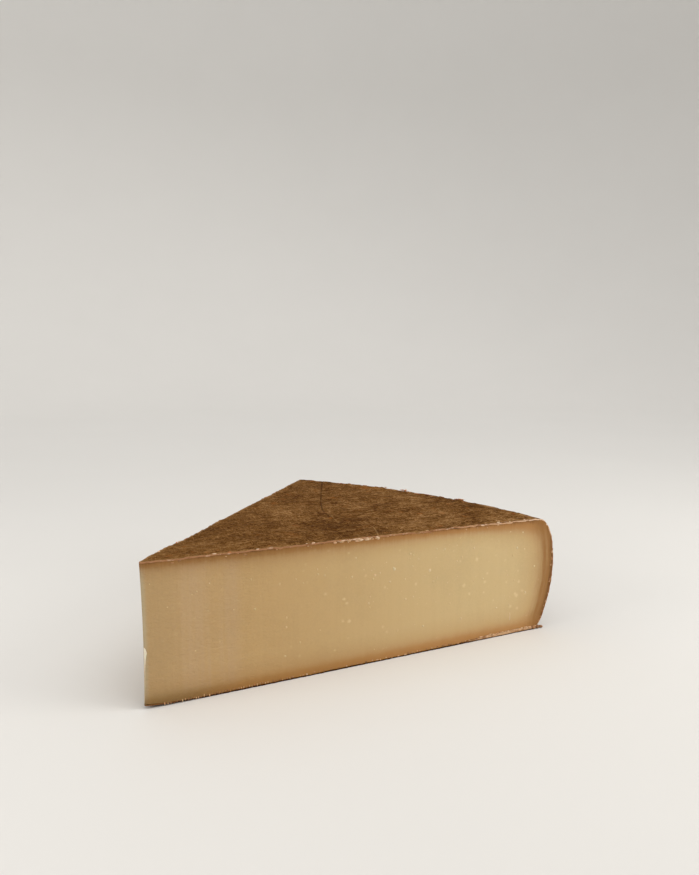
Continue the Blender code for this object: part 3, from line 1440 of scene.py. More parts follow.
@dataclass
class Rind:
    """The crust on top, heel and base: a closed shell, torn along both cuts.

    A copy of the solid with its cuts pushed out is remeshed finely and roughened, cut again at both
    planes and given its thickness.
    """

    wedge: Wedge
    voxel: float = 0.0013
    cut_depth: float = 0.0012
    spare: float = 0.006
    rough_from: float = 1.0 * MM
    rough_rise: float = 3.0 * MM
    roughness: tuple[tuple[str, float, int, float], ...] = (
        ("lumps", 0.022, 2, 0.0009),
        ("crust", 0.0055, 3, 0.0010),
        ("pits", 0.0026, 2, 0.0006),
    )
    proud: float = 0.00018
    tip_trim: float = 0.0012
    crease: Mark = Mark(((0.2336, 0.2434), (0.2236, 0.2203), (0.2004, 0.1689), (0.1813, 0.1245),
                         (0.1720, 0.0980), (0.1675, 0.0740)), 0.00060, 0.90)
    crease_depth: float = 0.35 * MM
    crease_patches: Patches = Patches(0.012, 0.85, 0.8, (0.4, 1))
    scratches: tuple[Mark, ...] = (
        Mark(((0.186, 0.047), (0.184, 0.026), (0.176, 0.003)), 0.0005, 0.50),
        Mark(((0.196, 0.074), (0.217, 0.084), (0.240, 0.088)), 0.0005, 0.40),
        Mark(((0.255, 0.160), (0.272, 0.142), (0.292, 0.120)), 0.0004, 0.30),
        Mark(((0.1765, 0.094), (0.1705, 0.076), (0.1655, 0.050)), 0.0006, 0.28),
        Mark(((0.150, 0.106), (0.146, 0.109), (0.140, 0.109)), 0.0008, 0.35),
    )
    scratch_depth: float = 0.12 * MM
    scratch_patches: Patches = Patches(0.006, 0.7, 1.0)
    mark_reaches: Range = (2.5 * MM, 1.5 * MM)
    stains: tuple[Stain, ...] = (
        Stain(0.050, 14, 0.050, 0.026, 0.9),
        Stain(0.100, 24, 0.022, 0.040, -0.7),
        Stain(0.095, 46, 0.045, 0.010, -0.8),
        Stain(0.172, 17, 0.026, 0.026, -0.9),
        Stain(0.240, 9, 0.036, 0.028, 0.6),
        Stain(0.300, 1, 0.020, 0.018, 0.6),
        Stain(0.222, 28, 0.016, 0.016, 0.6),
        Stain(0.222, 35, 0.016, 0.016, -0.5),
        Stain(0.298, 27, 0.020, 0.050, 0.7),
        Stain(0.322, 18, 0.010, 0.026, -0.8),
        Stain(0.180, 38, 0.022, 0.026, 0.4),
    )
    rust_spots: tuple[Stain, ...] = (
        Stain(0.314, 35.2, 0.007, 0.011, 0.35),
        Stain(0.120, 13.3, 0.005, 0.007, 0.16),
        Stain(0.323, 27.6, 0.004, 0.006, 0.4),
        Stain(0.323, 15.4, 0.004, 0.006, 0.35),
    )
    stain_lump: float = 0.008
    stain_unevenness: float = 0.7
    top_from: float = 0.086
    top_rise: float = 0.006
    wear: float = 0.55
    edge_wear: float = 1.0 * MM
    edge_patches: Patches = Patches(0.005, 0.75, 0.9, (0.2, 1))
    shoulder_wear: float = 0.0022
    shoulder_shift: float = 1.0 * MM
    shoulder_patches: Patches = Patches(0.014, 0.15, 1.2)
    thickness: float = 0.0034
    share: float = 0.31
    foot_share: float = 0.27
    foot_height: float = 0.020
    thick_foot_from: float = 0.245
    thick_foot_rise: float = 0.035
    thick_foot_height: float = 2.0 * MM
    thick_foot_top: float = 1.5
    thick_patches: Patches = Patches(0.006, 0.9, 0.4, (0.75, 1.0))
    kept_beside_cut: float = 4.0 * MM
    on_base: float = 0.5 * MM
    kept_hidden: float = 0.55
    on_edge: float = 0.05 * MM
    fray: float = 0.00035
    fray_patches: Patches = Patches(0.0026, 0.2, 1.0, octaves=3)
    fray_from_tip: float = 0.015
    fray_start: float = 0.2
    nicks: tuple[Range, ...] = ((0.209, 0.0030), (0.096, 0.0016), (0.262, 0.0014))
    nick_depth: float = 0.0009
    waver: float = 0.25 * MM
    waver_lump: float = 0.0060
    waver_seed: float = 0.05
    sharp: float = 50.0

    def blank(self) -> Piece:
        """A welded copy of the solid with both cuts pushed out, finely remeshed.

        Returns:
            The blank.
        """
        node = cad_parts[NODE]
        piece = node.copy()
        piece.data = node.data.copy()
        piece.parent = None
        piece.name = piece.data.name = "rind"
        for key in list(piece.keys()):
            del piece[key]
        piece.data.materials.clear()
        bpy.context.scene.collection.objects.link(piece)
        with editing(piece, whole=True):
            bpy.ops.mesh.remove_doubles(threshold=WELD)
        points = points_of(piece)
        for cut in Cut:
            pick_points(piece, self.wedge.to_cut(points, cut) < self.cut_depth)
            with editing(piece):
                bpy.ops.transform.translate(value=self.wedge.normal(cut) * self.spare)
        modified(piece, "REMESH", mode="VOXEL", voxel_size=self.voxel)
        return piece

    def roughen(self, piece: Piece) -> None:
        """Lumps, pits and fine crust on the top and the heel. The base stays flat.

        Args:
            piece: the blank.
        """
        above_base = points_of(piece)[:, 2] - self.rough_from
        weigh(piece, "rough", np.clip(above_base / self.rough_rise, 0, 1))
        for name, size, depth, strength in self.roughness:
            texture = bpy.data.textures.new(name, "CLOUDS")
            texture.noise_scale = size
            texture.noise_depth = depth
            modified(piece, "DISPLACE", texture=texture, strength=strength, mid_level=0.5,
                     vertex_group="rough", texture_coords="LOCAL")

    def cut(self, piece: Piece) -> None:
        """Cuts the blank at both planes, a little proud of the paste, and trims its tip.

        Args:
            piece: the roughened blank.
        """
        half = self.wedge.angle / 2
        bisector = Vector((math.cos(half), math.sin(half), 0))
        planes = [(bisector * self.tip_trim, -bisector)]
        planes += [(self.wedge.normal(cut) * self.proud, self.wedge.normal(cut)) for cut in Cut]
        for shift, out in planes:
            with editing(piece, whole=True):
                bpy.ops.mesh.bisect(plane_co=self.wedge.tip + shift, plane_no=out, clear_outer=True,
                                    use_fill=False)

    def mark(self, piece: Piece) -> None:
        """Divides the crust finely along the crease and the scratches, and presses them in.

        Args:
            piece: the open crust.
        """
        middle = self.wedge.height / 2
        for reach in self.mark_reaches:
            points = points_of(piece)
            away = [line.distance(self.wedge, points) for line in (self.crease, *self.scratches)]
            pick_points(piece, (np.min(away, axis=0) < reach) & (points[:, 2] > middle))
            with editing(piece):
                bpy.ops.mesh.subdivide(number_cuts=1)
        points = points_of(piece)
        on_top = points[:, 2] > middle
        crease = bell(self.crease.distance(self.wedge, points), self.crease.width)
        crease *= on_top * self.crease_patches.at(points)
        scratch = np.zeros(len(points))
        for line in self.scratches:
            shape = bell(line.distance(self.wedge, points), line.width)
            scratch = np.maximum(scratch, line.strength * shape)
        scratch *= on_top * self.scratch_patches.at(points)
        # The crease's share also places its painted shade.
        store(piece, "crease", self.crease.strength * crease)
        store(piece, "scratch", scratch)
        points[:, 2] -= self.crease_depth * crease + self.scratch_depth * scratch
        move_points(piece, points)

    def weather(self, piece: Piece) -> None:
        """Keeps where the top is stained or rusty, and where its edges are worn pale.

        Args:
            piece: the open crust.
        """
        points = points_of(piece)
        radius, turn = self.wedge.polar(points)
        on_top = np.clip((points[:, 2] - self.top_from) / self.top_rise, 0, 1)
        uneven = on_top * (1 + self.stain_unevenness * wander(points, self.stain_lump, 3))
        for name, spots in (("stain", self.stains), ("rust_spot", self.rust_spots)):
            store(piece, name, uneven * sum(spot.share(radius, turn) for spot in spots))
        edge = bell(np.clip(self.wedge.near_cut(points), 0, None), self.edge_wear)
        shoulder = self.wedge.heel(np.full(len(points), self.wedge.height), turn)
        ridge = bell(radius - (shoulder + self.shoulder_shift), self.shoulder_wear)
        ridge *= self.shoulder_patches.at(points)
        edge *= self.edge_patches.at(points)
        store(piece, "worn", self.wear * on_top * np.maximum(edge, ridge))

    def thicken(self, piece: Piece) -> None:
        """Gives the crust its uneven thickness inwards, and its torn edge the second material.

        What can't be seen is left with fewer faces.

        Args:
            piece: the open crust.
        """
        points = points_of(piece)
        rise = np.clip(points[:, 2] / self.foot_height, 0, 1)
        share = self.foot_share + rise * (self.share - self.foot_share)
        past = self.wedge.polar(points)[0] - self.thick_foot_from
        thick_foot = np.clip(past / self.thick_foot_rise, 0, 1)
        thick_foot *= np.clip(self.thick_foot_top - points[:, 2] / self.thick_foot_height, 0, 1)
        share += (1 - share) * thick_foot
        share *= self.thick_patches.at(points)
        weigh(piece, "thick", share)
        hidden = piece.vertex_groups.new(name="hidden").name
        modified(piece, "SOLIDIFY", thickness=self.thickness, offset=-1.0, use_even_offset=False,
                 material_offset_rim=1, vertex_group="thick", shell_vertex_group=hidden)
        points = points_of(piece)
        near_cut = self.wedge.near_cut(points) < self.kept_beside_cut
        under = (points[:, 2] < self.on_base) & ~near_cut
        piece.vertex_groups[hidden].add(np.flatnonzero(under).tolist(), 1.0, "REPLACE")
        piece.vertex_groups[hidden].remove(np.flatnonzero(near_cut).tolist())
        modified(piece, "DECIMATE", ratio=self.kept_hidden, vertex_group=hidden)

    def tear(self, piece: Piece) -> None:
        """Frays the crust's edge along the cuts: some stands proud, and a few nicks are missing.

        Args:
            piece: the closed crust.
        """
        points = points_of(piece)
        moved = points.copy()
        for cut in Cut:
            on_edge = np.abs(self.wedge.to_cut(points, cut) + self.proud) < self.on_edge
            where = points[on_edge]
            radius = self.wedge.polar(where)[0]
            fray = self.fray_patches.at(where) * self.fray
            fray *= np.clip(radius / self.fray_from_tip - self.fray_start, 0, 1)
            nick = sum(self.nick_depth * bell(radius - at, length) for at, length in self.nicks)
            nick *= where[:, 2] > self.wedge.height / 2
            uneven = self.waver * wander(where + self.waver_seed, self.waver_lump, 2)
            moved[on_edge] += np.outer(fray, self.wedge.normal(cut))
            moved[on_edge, 2] -= nick + uneven * np.sign(where[:, 2] - self.wedge.height / 2)
        move_points(piece, moved)

    def build(self) -> Piece:
        """Models and dresses the rind, one closed shell.

        Returns:
            The rind.
        """
        piece = self.blank()
        self.roughen(piece)
        self.cut(piece)
        self.mark(piece)
        self.weather(piece)
        for finish in (RindFinish(), RindEdgeFinish()):
            piece.data.materials.append(finish.make())
        self.thicken(piece)
        self.tear(piece)
        points = self.wedge.drifted(self.wedge.lifted(points_of(piece)))
        points[:, 2] = np.maximum(points[:, 2], 0)
        move_points(piece, points)
        piece.vertex_groups.clear()
        return finished(piece, sharp=self.sharp)


@dataclass(frozen=True)
class Speck:
    """One small lump on a cut: its middle, its length, thickness and height, and its tone."""

    cut: Cut
    radius: float
    height: float
    size: Size
    tone: float


@dataclass(frozen=True)
class Grade:
    """A kind of crumb: its length, thickness and height in millimetres, and its tone."""

    length: Range
    thickness: float
    height: Range
    tone: Range

    def size(self, draw: random.Random) -> Size:
        """Length, thickness and height of one crumb."""
        return draw.uniform(*self.length) * MM, self.thickness * MM, draw.uniform(*self.height) * MM


@dataclass(frozen=True)
class FootRun:
    """Crumbs along one stretch of a cut's foot, with heights and steps in millimetres."""

    end: float
    grade: Grade
    height: Range
    step: Range


@dataclass
class Specks:
    """Small lumps on the cuts as one joined piece. Each kind says where its lumps lie."""

    wedge: Wedge
    name: str
    finish: SpeckFinish
    seed: int
    sides: int = 8
    rings: int = 5
    uneven: float = 0.35
    uneven_lump: float = 0.7
    lowest: float = 0.1 * MM

    def places(self, draw: random.Random) -> list[Speck]:
        """All the lumps of this kind."""
        raise NotImplementedError

    def lump(self, speck: Speck, draw: random.Random) -> Piece:
        """One uneven lump at its place, half sunk in the cut, whose waves it follows.

        Args:
            speck: its place, size and tone.
            draw: gives its own unevenness.

        Returns:
            The lump.
        """
        bpy.ops.mesh.primitive_uv_sphere_add(segments=self.sides, ring_count=self.rings, radius=0.5)
        lump = added(self.name)
        wedge = self.wedge
        shape = points_of(lump)
        shape *= (1 + self.uneven * wander(shape + draw.uniform(0, 100), self.uneven_lump))[:, None]
        along, out = np.array(wedge.along(speck.cut)), np.array(wedge.normal(speck.cut))
        up = np.array((0, 0, 1))
        radius, turn = np.array([speck.radius]), np.array([wedge.turn(speck.cut)])
        true_height = speck.height / wedge.slope(radius, turn)
        push = wedge.waves(radius / wedge.grown(turn), true_height, speck.cut)
        placed = np.array(wedge.tip) + along * speck.radius + up * speck.height + out * push
        for share, size, way in zip(shape.T, speck.size, (along, out, up)):
            placed = placed + np.outer(share * size, way)
        placed = wedge.drifted(placed)
        placed[:, 2] = np.maximum(placed[:, 2], self.lowest)
        move_points(lump, placed)
        store(lump, "tone", np.full(len(placed), speck.tone))
        return lump

    def build(self) -> Piece:
        """Models and dresses the lumps, all as one piece.

        Returns:
            The whole piece.
        """
        draw = random.Random(self.seed)
        whole = joined([self.lump(speck, draw) for speck in self.places(draw)], self.name)
        face_out(whole)
        return finished(whole, self.finish)


@dataclass
class Crystals(Specks):
    """Crystals in both cuts: large ones in the front cut, and small ones, mostly towards the heel.

    A large one has its radius, height, width and tone. Radii and widths of small ones have a least
    value, an extent and a power, and their heights a lowest, a highest and a commonest value.
    """

    name: str = "crystals"
    finish: SpeckFinish = SpeckFinish("crystal", (
        (0.0, paint(203, 174, 126)),
        (1.0, paint(228, 208, 172)),
    ), 0.5)
    seed: int = 3
    large: tuple[tuple[float, float, float, float], ...] = (
        (188.8, 71.0, 2.4, 0.50), (220.6, 65.6, 2.4, 0.55), (198.7, 45.8, 1.9, 0.28),
        (214.8, 21.4, 1.9, 0.30), (172.0, 68.5, 2.0, 0.28), (176.2, 69.5, 1.5, 0.22),
        (152.7, 69.6, 1.7, 0.22), (305.7, 74.0, 2.1, 0.40), (226.8, 82.1, 1.6, 0.22),
        (234.3, 81.2, 1.7, 0.24), (262.1, 78.7, 2.0, 0.28), (202.8, 81.0, 1.9, 0.28),
        (245.8, 70.0, 1.7, 0.28), (324.3, 55.8, 1.6, 0.38), (315.4, 34.3, 1.6, 0.42),
        (17.5, 67.6, 0.9, 0.20), (45.9, 79.8, 1.1, 0.30), (37.2, 75.4, 1.2, 0.10),
        (35.3, 34.3, 1.2, 0.10), (6.3, 84.8, 0.8, 0.10), (33.9, 73.8, 1.0, 0.10),
    )
    large_thickness: float = 0.36 * MM
    long: Speck = Speck(Cut.FRONT, 299.7 * MM, 15.5 * MM, (1.0 * MM, 0.5 * MM, 6.5 * MM), 0.60)
    small: int = 200
    small_thickness: float = 0.26 * MM
    reach: float = 0.322
    radii: Size = (0.05, 0.95, 0.6)
    heights: Size = (0.10, 0.93, 0.72)
    widths: Size = (0.7, 1.3, 2.0)
    width_at_tip: float = 0.6
    width_length: float = 0.3
    stretch: Range = (0.75, 1.25)
    tones: Range = (0.0, 0.55)
    tone_length: float = 0.15
    tone_shift: float = -0.15

    def places(self, draw: random.Random) -> list[Speck]:
        """The large ones and a cluster's long one in their places, and the small ones at random.

        Args:
            draw: the source of random numbers.

        Returns:
            The crystals.
        """
        specks = []
        for radius, height, wide, tone in self.large:
            size = (wide * MM, self.large_thickness, wide * MM)
            specks.append(Speck(Cut.FRONT, radius * MM, height * MM, size, tone))
        specks.append(self.long)
        for _ in range(self.small):
            cut = draw.choice(list(Cut))
            least, extent, power = self.radii
            radius = (least + extent * draw.random() ** power) * self.reach
            height = self.wedge.height * draw.triangular(*self.heights)
            least, extent, power = self.widths
            wide = (least + extent * draw.random() ** power) * MM
            wide *= min(self.width_at_tip + radius / self.width_length, 1)
            wave = draw.uniform(*self.stretch)
            tone = draw.uniform(*self.tones) * min(radius / self.tone_length, 1) + self.tone_shift
            size = (wide * wave, self.small_thickness, wide / wave)
            specks.append(Speck(cut, radius, height, size, tone))
        return specks


@dataclass
class Crumbs(Specks):
    """Crumbs and chips on the edges of both cuts.

    Along each foot lie even teeth near the tip, fewer crumbs further out and chips near the heel.
    """

    name: str = "crumbs"
    finish: SpeckFinish = SpeckFinish("crumb", (
        (0.0, paint(104, 64, 32)),
        (0.35, paint(160, 114, 68)),
        (0.6, paint(198, 156, 114)),
        (1.0, paint(228, 200, 168)),
    ), 0.6)
    seed: int = 5
    foot_from: float = 0.014
    foot: tuple[FootRun, ...] = (
        FootRun(0.103, Grade((0.7, 1.1), 0.9, (1.2, 2.2), (0.15, 0.60)), (1.0, 1.8), (1.4, 2.3)),
        FootRun(0.270, Grade((0.8, 2.6), 0.9, (0.7, 1.3), (0.15, 0.70)), (1.1, 2.2), (1.8, 6.5)),
        FootRun(0.321, Grade((1.2, 3.4), 1.0, (0.8, 1.6), (0.35, 0.85)), (2.2, 3.6), (1.5, 3.5)),
    )
    chips: tuple[Speck, ...] = (
        Speck(Cut.FRONT, 0.3255, 2.0 * MM, (5.0 * MM, 2.8 * MM, 3.6 * MM), 0.30),
        Speck(Cut.FRONT, 0.3298, 1.7 * MM, (4.6 * MM, 3.4 * MM, 3.3 * MM), 0.16),
        Speck(Cut.FRONT, 0.3335, 1.3 * MM, (3.8 * MM, 3.0 * MM, 2.4 * MM), 0.24),
        Speck(Cut.FRONT, 0.3215, 2.4 * MM, (3.6 * MM, 1.4 * MM, 2.0 * MM), 0.62),
    )
    patch_count: int = 13
    patch: Grade = Grade((2.0, 4.5), 1.0, (1.0, 1.8), (0.5, 0.95))
    patch_radii: Range = (0.156, 0.176)
    patch_drops: Range = (0.7, 2.2)
    row: tuple[float, ...] = (0.139, 0.1445, 0.1505)
    row_size: Size = (3.2 * MM, 0.9 * MM, 1.6 * MM)
    row_drop: float = 1.4 * MM
    row_tones: Range = (0.45, 0.7)
    heel_count: int = 16
    heel: Grade = Grade((0.7, 1.4), 0.8, (1.0, 3.0), (0.2, 0.65))
    heel_heights: Range = (0.006, 0.088)
    heel_insets: Range = (0.4, 2.2)
    edge_count: int = 26
    edge: Grade = Grade((0.8, 2.2), 0.7, (0.6, 1.2), (0.2, 0.6))
    edge_radii: Range = (0.02, 0.325)
    edge_drops: Range = (1.0, 3.4)

    def along_foot(self, cut: Cut, draw: random.Random) -> list[Speck]:
        """Crumbs along a cut's foot.

        Args:
            cut: the cut.
            draw: the source of random numbers.

        Returns:
            The crumbs.
        """
        specks = []
        radius = self.foot_from
        for run in self.foot:
            while radius < run.end:
                size = run.grade.size(draw)
                height = draw.uniform(*run.height) * MM
                specks.append(Speck(cut, radius, height, size, draw.uniform(*run.grade.tone)))
                radius += draw.uniform(*run.step) * MM
        return specks

    def along_heel(self, cut: Cut, draw: random.Random) -> list[Speck]:
        """Specks of rind along a cut's upright edge at the heel.

        Args:
            cut: the cut.
            draw: the source of random numbers.

        Returns:
            The crumbs.
        """
        specks = []
        for _ in range(self.heel_count):
            height = draw.uniform(*self.heel_heights)
            edge = float(self.wedge.heel(height, self.wedge.turn(cut)))
            size = self.heel.size(draw)
            radius = edge - draw.uniform(*self.heel_insets) * MM
            specks.append(Speck(cut, radius, height, size, draw.uniform(*self.heel.tone)))
        return specks

    def under_edge(self, cut: Cut, radius: float, drop: float, size: Size, tone: float) -> Speck:
        """A crumb at a depth below a cut's upper edge."""
        return Speck(cut, radius, self.wedge.top(radius, self.wedge.turn(cut)) - drop, size, tone)

    def places(self, draw: random.Random) -> list[Speck]:
        """Crumbs along both feet, heels and upper edges, and two patches under the front one.

        Args:
            draw: the source of random numbers.

        Returns:
            The crumbs.
        """
        specks = [speck for cut in Cut for speck in self.along_foot(cut, draw)] + list(self.chips)
        for _ in range(self.patch_count):
            size = self.patch.size(draw)
            radius, drop = draw.uniform(*self.patch_radii), draw.uniform(*self.patch_drops) * MM
            tone = draw.uniform(*self.patch.tone)
            specks.append(self.under_edge(Cut.FRONT, radius, drop, size, tone))
        for radius in self.row:
            tone = draw.uniform(*self.row_tones)
            specks.append(self.under_edge(Cut.FRONT, radius, self.row_drop, self.row_size, tone))
        for cut in Cut:
            specks += self.along_heel(cut, draw)
            for _ in range(self.edge_count):
                radius = draw.uniform(*self.edge_radii)
                size = self.edge.size(draw)
                drop, tone = draw.uniform(*self.edge_drops) * MM, draw.uniform(*self.edge.tone)
                specks.append(self.under_edge(cut, radius, drop, size, tone))
        return specks


@dataclass
class TipSliver:
    """A thin pale curl of paste that the wire left on the tip's edge, widest near its top.

    Its paler top is partly a painted highlight.
    """

    wedge: Wedge
    columns: int = 4
    rows: int = 48
    low: float = 0.0045
    high: float = 0.0425
    widths: tuple[Range, ...] = ((0.0, 0.0002), (0.35, 0.0005), (0.70, 0.0008), (0.90, 0.0019),
                                 (0.96, 0.0014), (1.0, 0.0001))
    unevenness: float = 0.25
    uneven_lumps: float = 8.0
    aside: float = 0.45 * MM
    out: float = 0.12 * MM
    curl: float = 0.25
    thickness: float = 0.00030
    tones: Range = (0.15, 0.7)
    # Where the sliver turns paler towards its top, partly a painted highlight.
    pale_from: float = 0.026
    pale_rise: float = 0.010
    finish: SpeckFinish = SpeckFinish("sliver", (
        (0.0, paint(196, 174, 136)),
        (1.0, paint(240, 231, 210)),
    ), 0.5)

    def build(self) -> Piece:
        """Models and dresses the sliver, one closed mesh.

        Returns:
            The sliver.
        """
        piece = upright_grid("tip_sliver", self.columns, self.rows, 1)
        points = points_of(piece)
        aside, up = points[:, 0] + 0.5, points[:, 2] + 0.5
        width = np.interp(up, *zip(*self.widths))
        width *= 1 + self.unevenness * wander(points * self.uneven_lumps, 1.0)
        out = self.out + self.curl * aside**2 * width
        tip = self.wedge.tip
        placed = np.column_stack((tip.x + self.aside + aside * width, tip.y - out,
                                  self.low + up * (self.high - self.low)))
        move_points(piece, self.wedge.drifted(placed))
        modified(piece, "SOLIDIFY", thickness=self.thickness, offset=0.0)
        face_out(piece)
        # Painted highlight in part: the sliver is painted paler towards its top, where it catches
        # the light.
        pale = np.clip((points_of(piece)[:, 2] - self.pale_from) / self.pale_rise, 0, 1)
        store(piece, "tone", self.tones[0] + self.tones[1] * pale)
        return finished(piece, self.finish)


def rotation(first: int, second: int, angle: float) -> Array:
    """The matrix of a turn from one axis towards another.

    Args:
        first: the axis it starts from, as a number.
        second: the axis it goes towards.
        angle: how far.

    Returns:
        The matrix.
    """
    matrix = np.eye(3)
    matrix[first, first] = matrix[second, second] = math.cos(angle)
    matrix[first, second], matrix[second, first] = -math.sin(angle), math.sin(angle)
    return matrix


@dataclass
class Flakes:
    """Torn scales of rind along the shoulder and the cuts' upper edges, as one joined piece.

    A standing one has its angle in degrees, and whether rusty ones lie beside it. A shape has its
    length, its tone, how far aside and how far up it lies in millimetres, and its lean.
    """

    wedge: Wedge
    standing: tuple[tuple[float, bool], ...] = ((32.3, False), (28.0, True), (15.9, True))
    standing_radius: float = 0.3225
    standing_shape: tuple[float, ...] = (0.0026, 1.0, -1.8, 1.1, 1.2)
    rusty_shapes: tuple[tuple[float, ...], ...] = ((0.0062, 0.34, 0.6, 0.3, 0.15),
                                                   (0.0046, 0.28, 3.4, 0.2, 0.25))
    shoulder_count: int = 34
    shoulder_turns: Range = (0.02, 0.98)
    shoulder_radii: Range = (-6.0, 3.0)
    shoulder_tones: Range = (0.0, 0.5)
    shoulder_leans: Range = (0.1, 0.6)
    edge_count: int = 26
    edge_radii: Range = (0.02, 0.32)
    edge_share: float = 0.7
    edge_tones: Range = (0.3, 0.8)
    edge_insets: Range = (0.1, 0.9)
    edge_leans: Range = (0.0, 0.4)
    sunk: float = 0.1 * MM
    length: Range = (0.0016, 0.0044)
    breadth: float = 0.45
    taper: float = 0.6
    curls: Range = (0.2, 0.5)
    long_curl: float = 0.1
    ragged: float = 0.3
    ragged_lump: float = 0.4
    thickness: float = 0.00035
    stray: float = 0.3
    seed: int = 11
    sharp: float = 50.0
    finish: SpeckFinish = SpeckFinish("rind_flake", (
        (0.0, paint(104, 64, 28)),
        (0.3, paint(172, 98, 42)),
        (0.6, paint(190, 148, 104)),
        (1.0, paint(240, 222, 198)),
    ), 0.75)

    def scale(self, length: float, tone: float, draw: random.Random) -> Piece:
        """One curled scale about the origin, longest along X.

        Args:
            length: its length.
            tone: its tone, from 0 to 1.
            draw: gives its curl and its ragged outline.

        Returns:
            The scale.
        """
        bpy.ops.mesh.primitive_grid_add(x_subdivisions=4, y_subdivisions=3, size=1)
        piece = added("rind_flakes")
        shape = points_of(piece)
        along, across = shape[:, 0], shape[:, 1]
        taper = 1 - self.taper * (2 * np.abs(along)) ** 2
        curl = draw.uniform(*self.curls)
        ragged = 1 + self.ragged * wander(shape + draw.uniform(0, 50), self.ragged_lump)
        rise = length * curl * across**2 + self.long_curl * length * along**2
        move_points(piece, np.column_stack((along * length * ragged,
                                            across * length * self.breadth * taper, rise)))
        modified(piece, "SOLIDIFY", thickness=self.thickness, offset=0.0)
        store(piece, "tone", np.full(len(piece.data.vertices), tone))
        return piece

    def put(self, piece: Piece, place: Vector, turn: float, lean: float,
            draw: random.Random) -> Piece:
        """Sets a scale down.

        Args:
            piece: the scale.
            place: where its middle goes.
            turn: the level direction of its length.
            lean: how far it leans up.
            draw: gives how far it strays from the direction.

        Returns:
            The same scale.
        """
        spin = rotation(0, 1, turn + draw.gauss(0, self.stray))
        placed = points_of(piece) @ rotation(1, 2, lean).T @ spin.T + np.array(place)
        move_points(piece, self.wedge.drifted(placed))
        return piece

    def top_place(self, radius: float, turn: float, drop: float) -> Vector:
        """A place at a depth below the rind's top.

        Args:
            radius: distance from the axis.
            turn: angle from the front cut.
            drop: the depth.

        Returns:
            The place.
        """
        tip = self.wedge.tip
        height = self.wedge.top(radius, turn) - drop
        return Vector((tip.x + radius * math.cos(turn), tip.y + radius * math.sin(turn), height))

    def stand(self, degrees: float, rusty: bool, draw: random.Random) -> list[Piece]:
        """A small pale scale that stands on the shoulder, with rusty ones lying beside it.

        Args:
            degrees: where it stands.
            rusty: whether rusty ones lie beside it.
            draw: gives their shapes.

        Returns:
            The scales.
        """
        turn = math.radians(degrees)
        radius = self.standing_radius
        shapes = (self.standing_shape, *self.rusty_shapes) if rusty else (self.standing_shape,)
        scales = []
        for length, tone, aside, rise, lean in shapes:
            scale = self.scale(length, tone, draw)
            place = self.top_place(radius, turn + aside * MM / radius, -rise * MM)
            scales.append(self.put(scale, place, turn + math.pi / 2, lean, draw))
        return scales

    def on_shoulder(self, draw: random.Random) -> Piece:
        """A scale that lies along the shoulder.

        Args:
            draw: the source of random numbers.

        Returns:
            The scale.
        """
        turn = draw.uniform(*self.shoulder_turns) * self.wedge.angle
        radius = float(self.wedge.heel(self.wedge.height, turn))
        radius += draw.uniform(*self.shoulder_radii) * MM
        scale = self.scale(draw.uniform(*self.length), draw.uniform(*self.shoulder_tones), draw)
        place = self.top_place(radius, turn, self.sunk)
        return self.put(scale, place, turn + math.pi / 2, draw.uniform(*self.shoulder_leans), draw)

    def on_edge(self, draw: random.Random) -> Piece:
        """A scale that lies along a cut's upper edge.

        Args:
            draw: the source of random numbers.

        Returns:
            The scale.
        """
        cut = draw.choice(list(Cut))
        radius = draw.uniform(*self.edge_radii)
        length = draw.uniform(*self.length) * self.edge_share
        scale = self.scale(length, draw.uniform(*self.edge_tones), draw)
        inward = -self.wedge.normal(cut) * draw.uniform(*self.edge_insets) * MM
        place = self.top_place(radius, self.wedge.turn(cut), self.sunk) + inward
        return self.put(scale, place, self.wedge.turn(cut), draw.uniform(*self.edge_leans), draw)

    def build(self) -> Piece:
        """Models and dresses the flakes, all as one piece.

        Returns:
            The whole piece.
        """
        draw = random.Random(self.seed)
        scales = [scale for place in self.standing for scale in self.stand(*place, draw)]
        scales += [self.on_shoulder(draw) for _ in range(self.shoulder_count)]
        scales += [self.on_edge(draw) for _ in range(self.edge_count)]
        return finished(joined(scales, "rind_flakes"), self.finish, sharp=self.sharp)


# The studio.


@dataclass(frozen=True)
class Lamp:
    """A square soft light."""

    name: str
    place: Size
    size: float
    power: float
    colour: Size


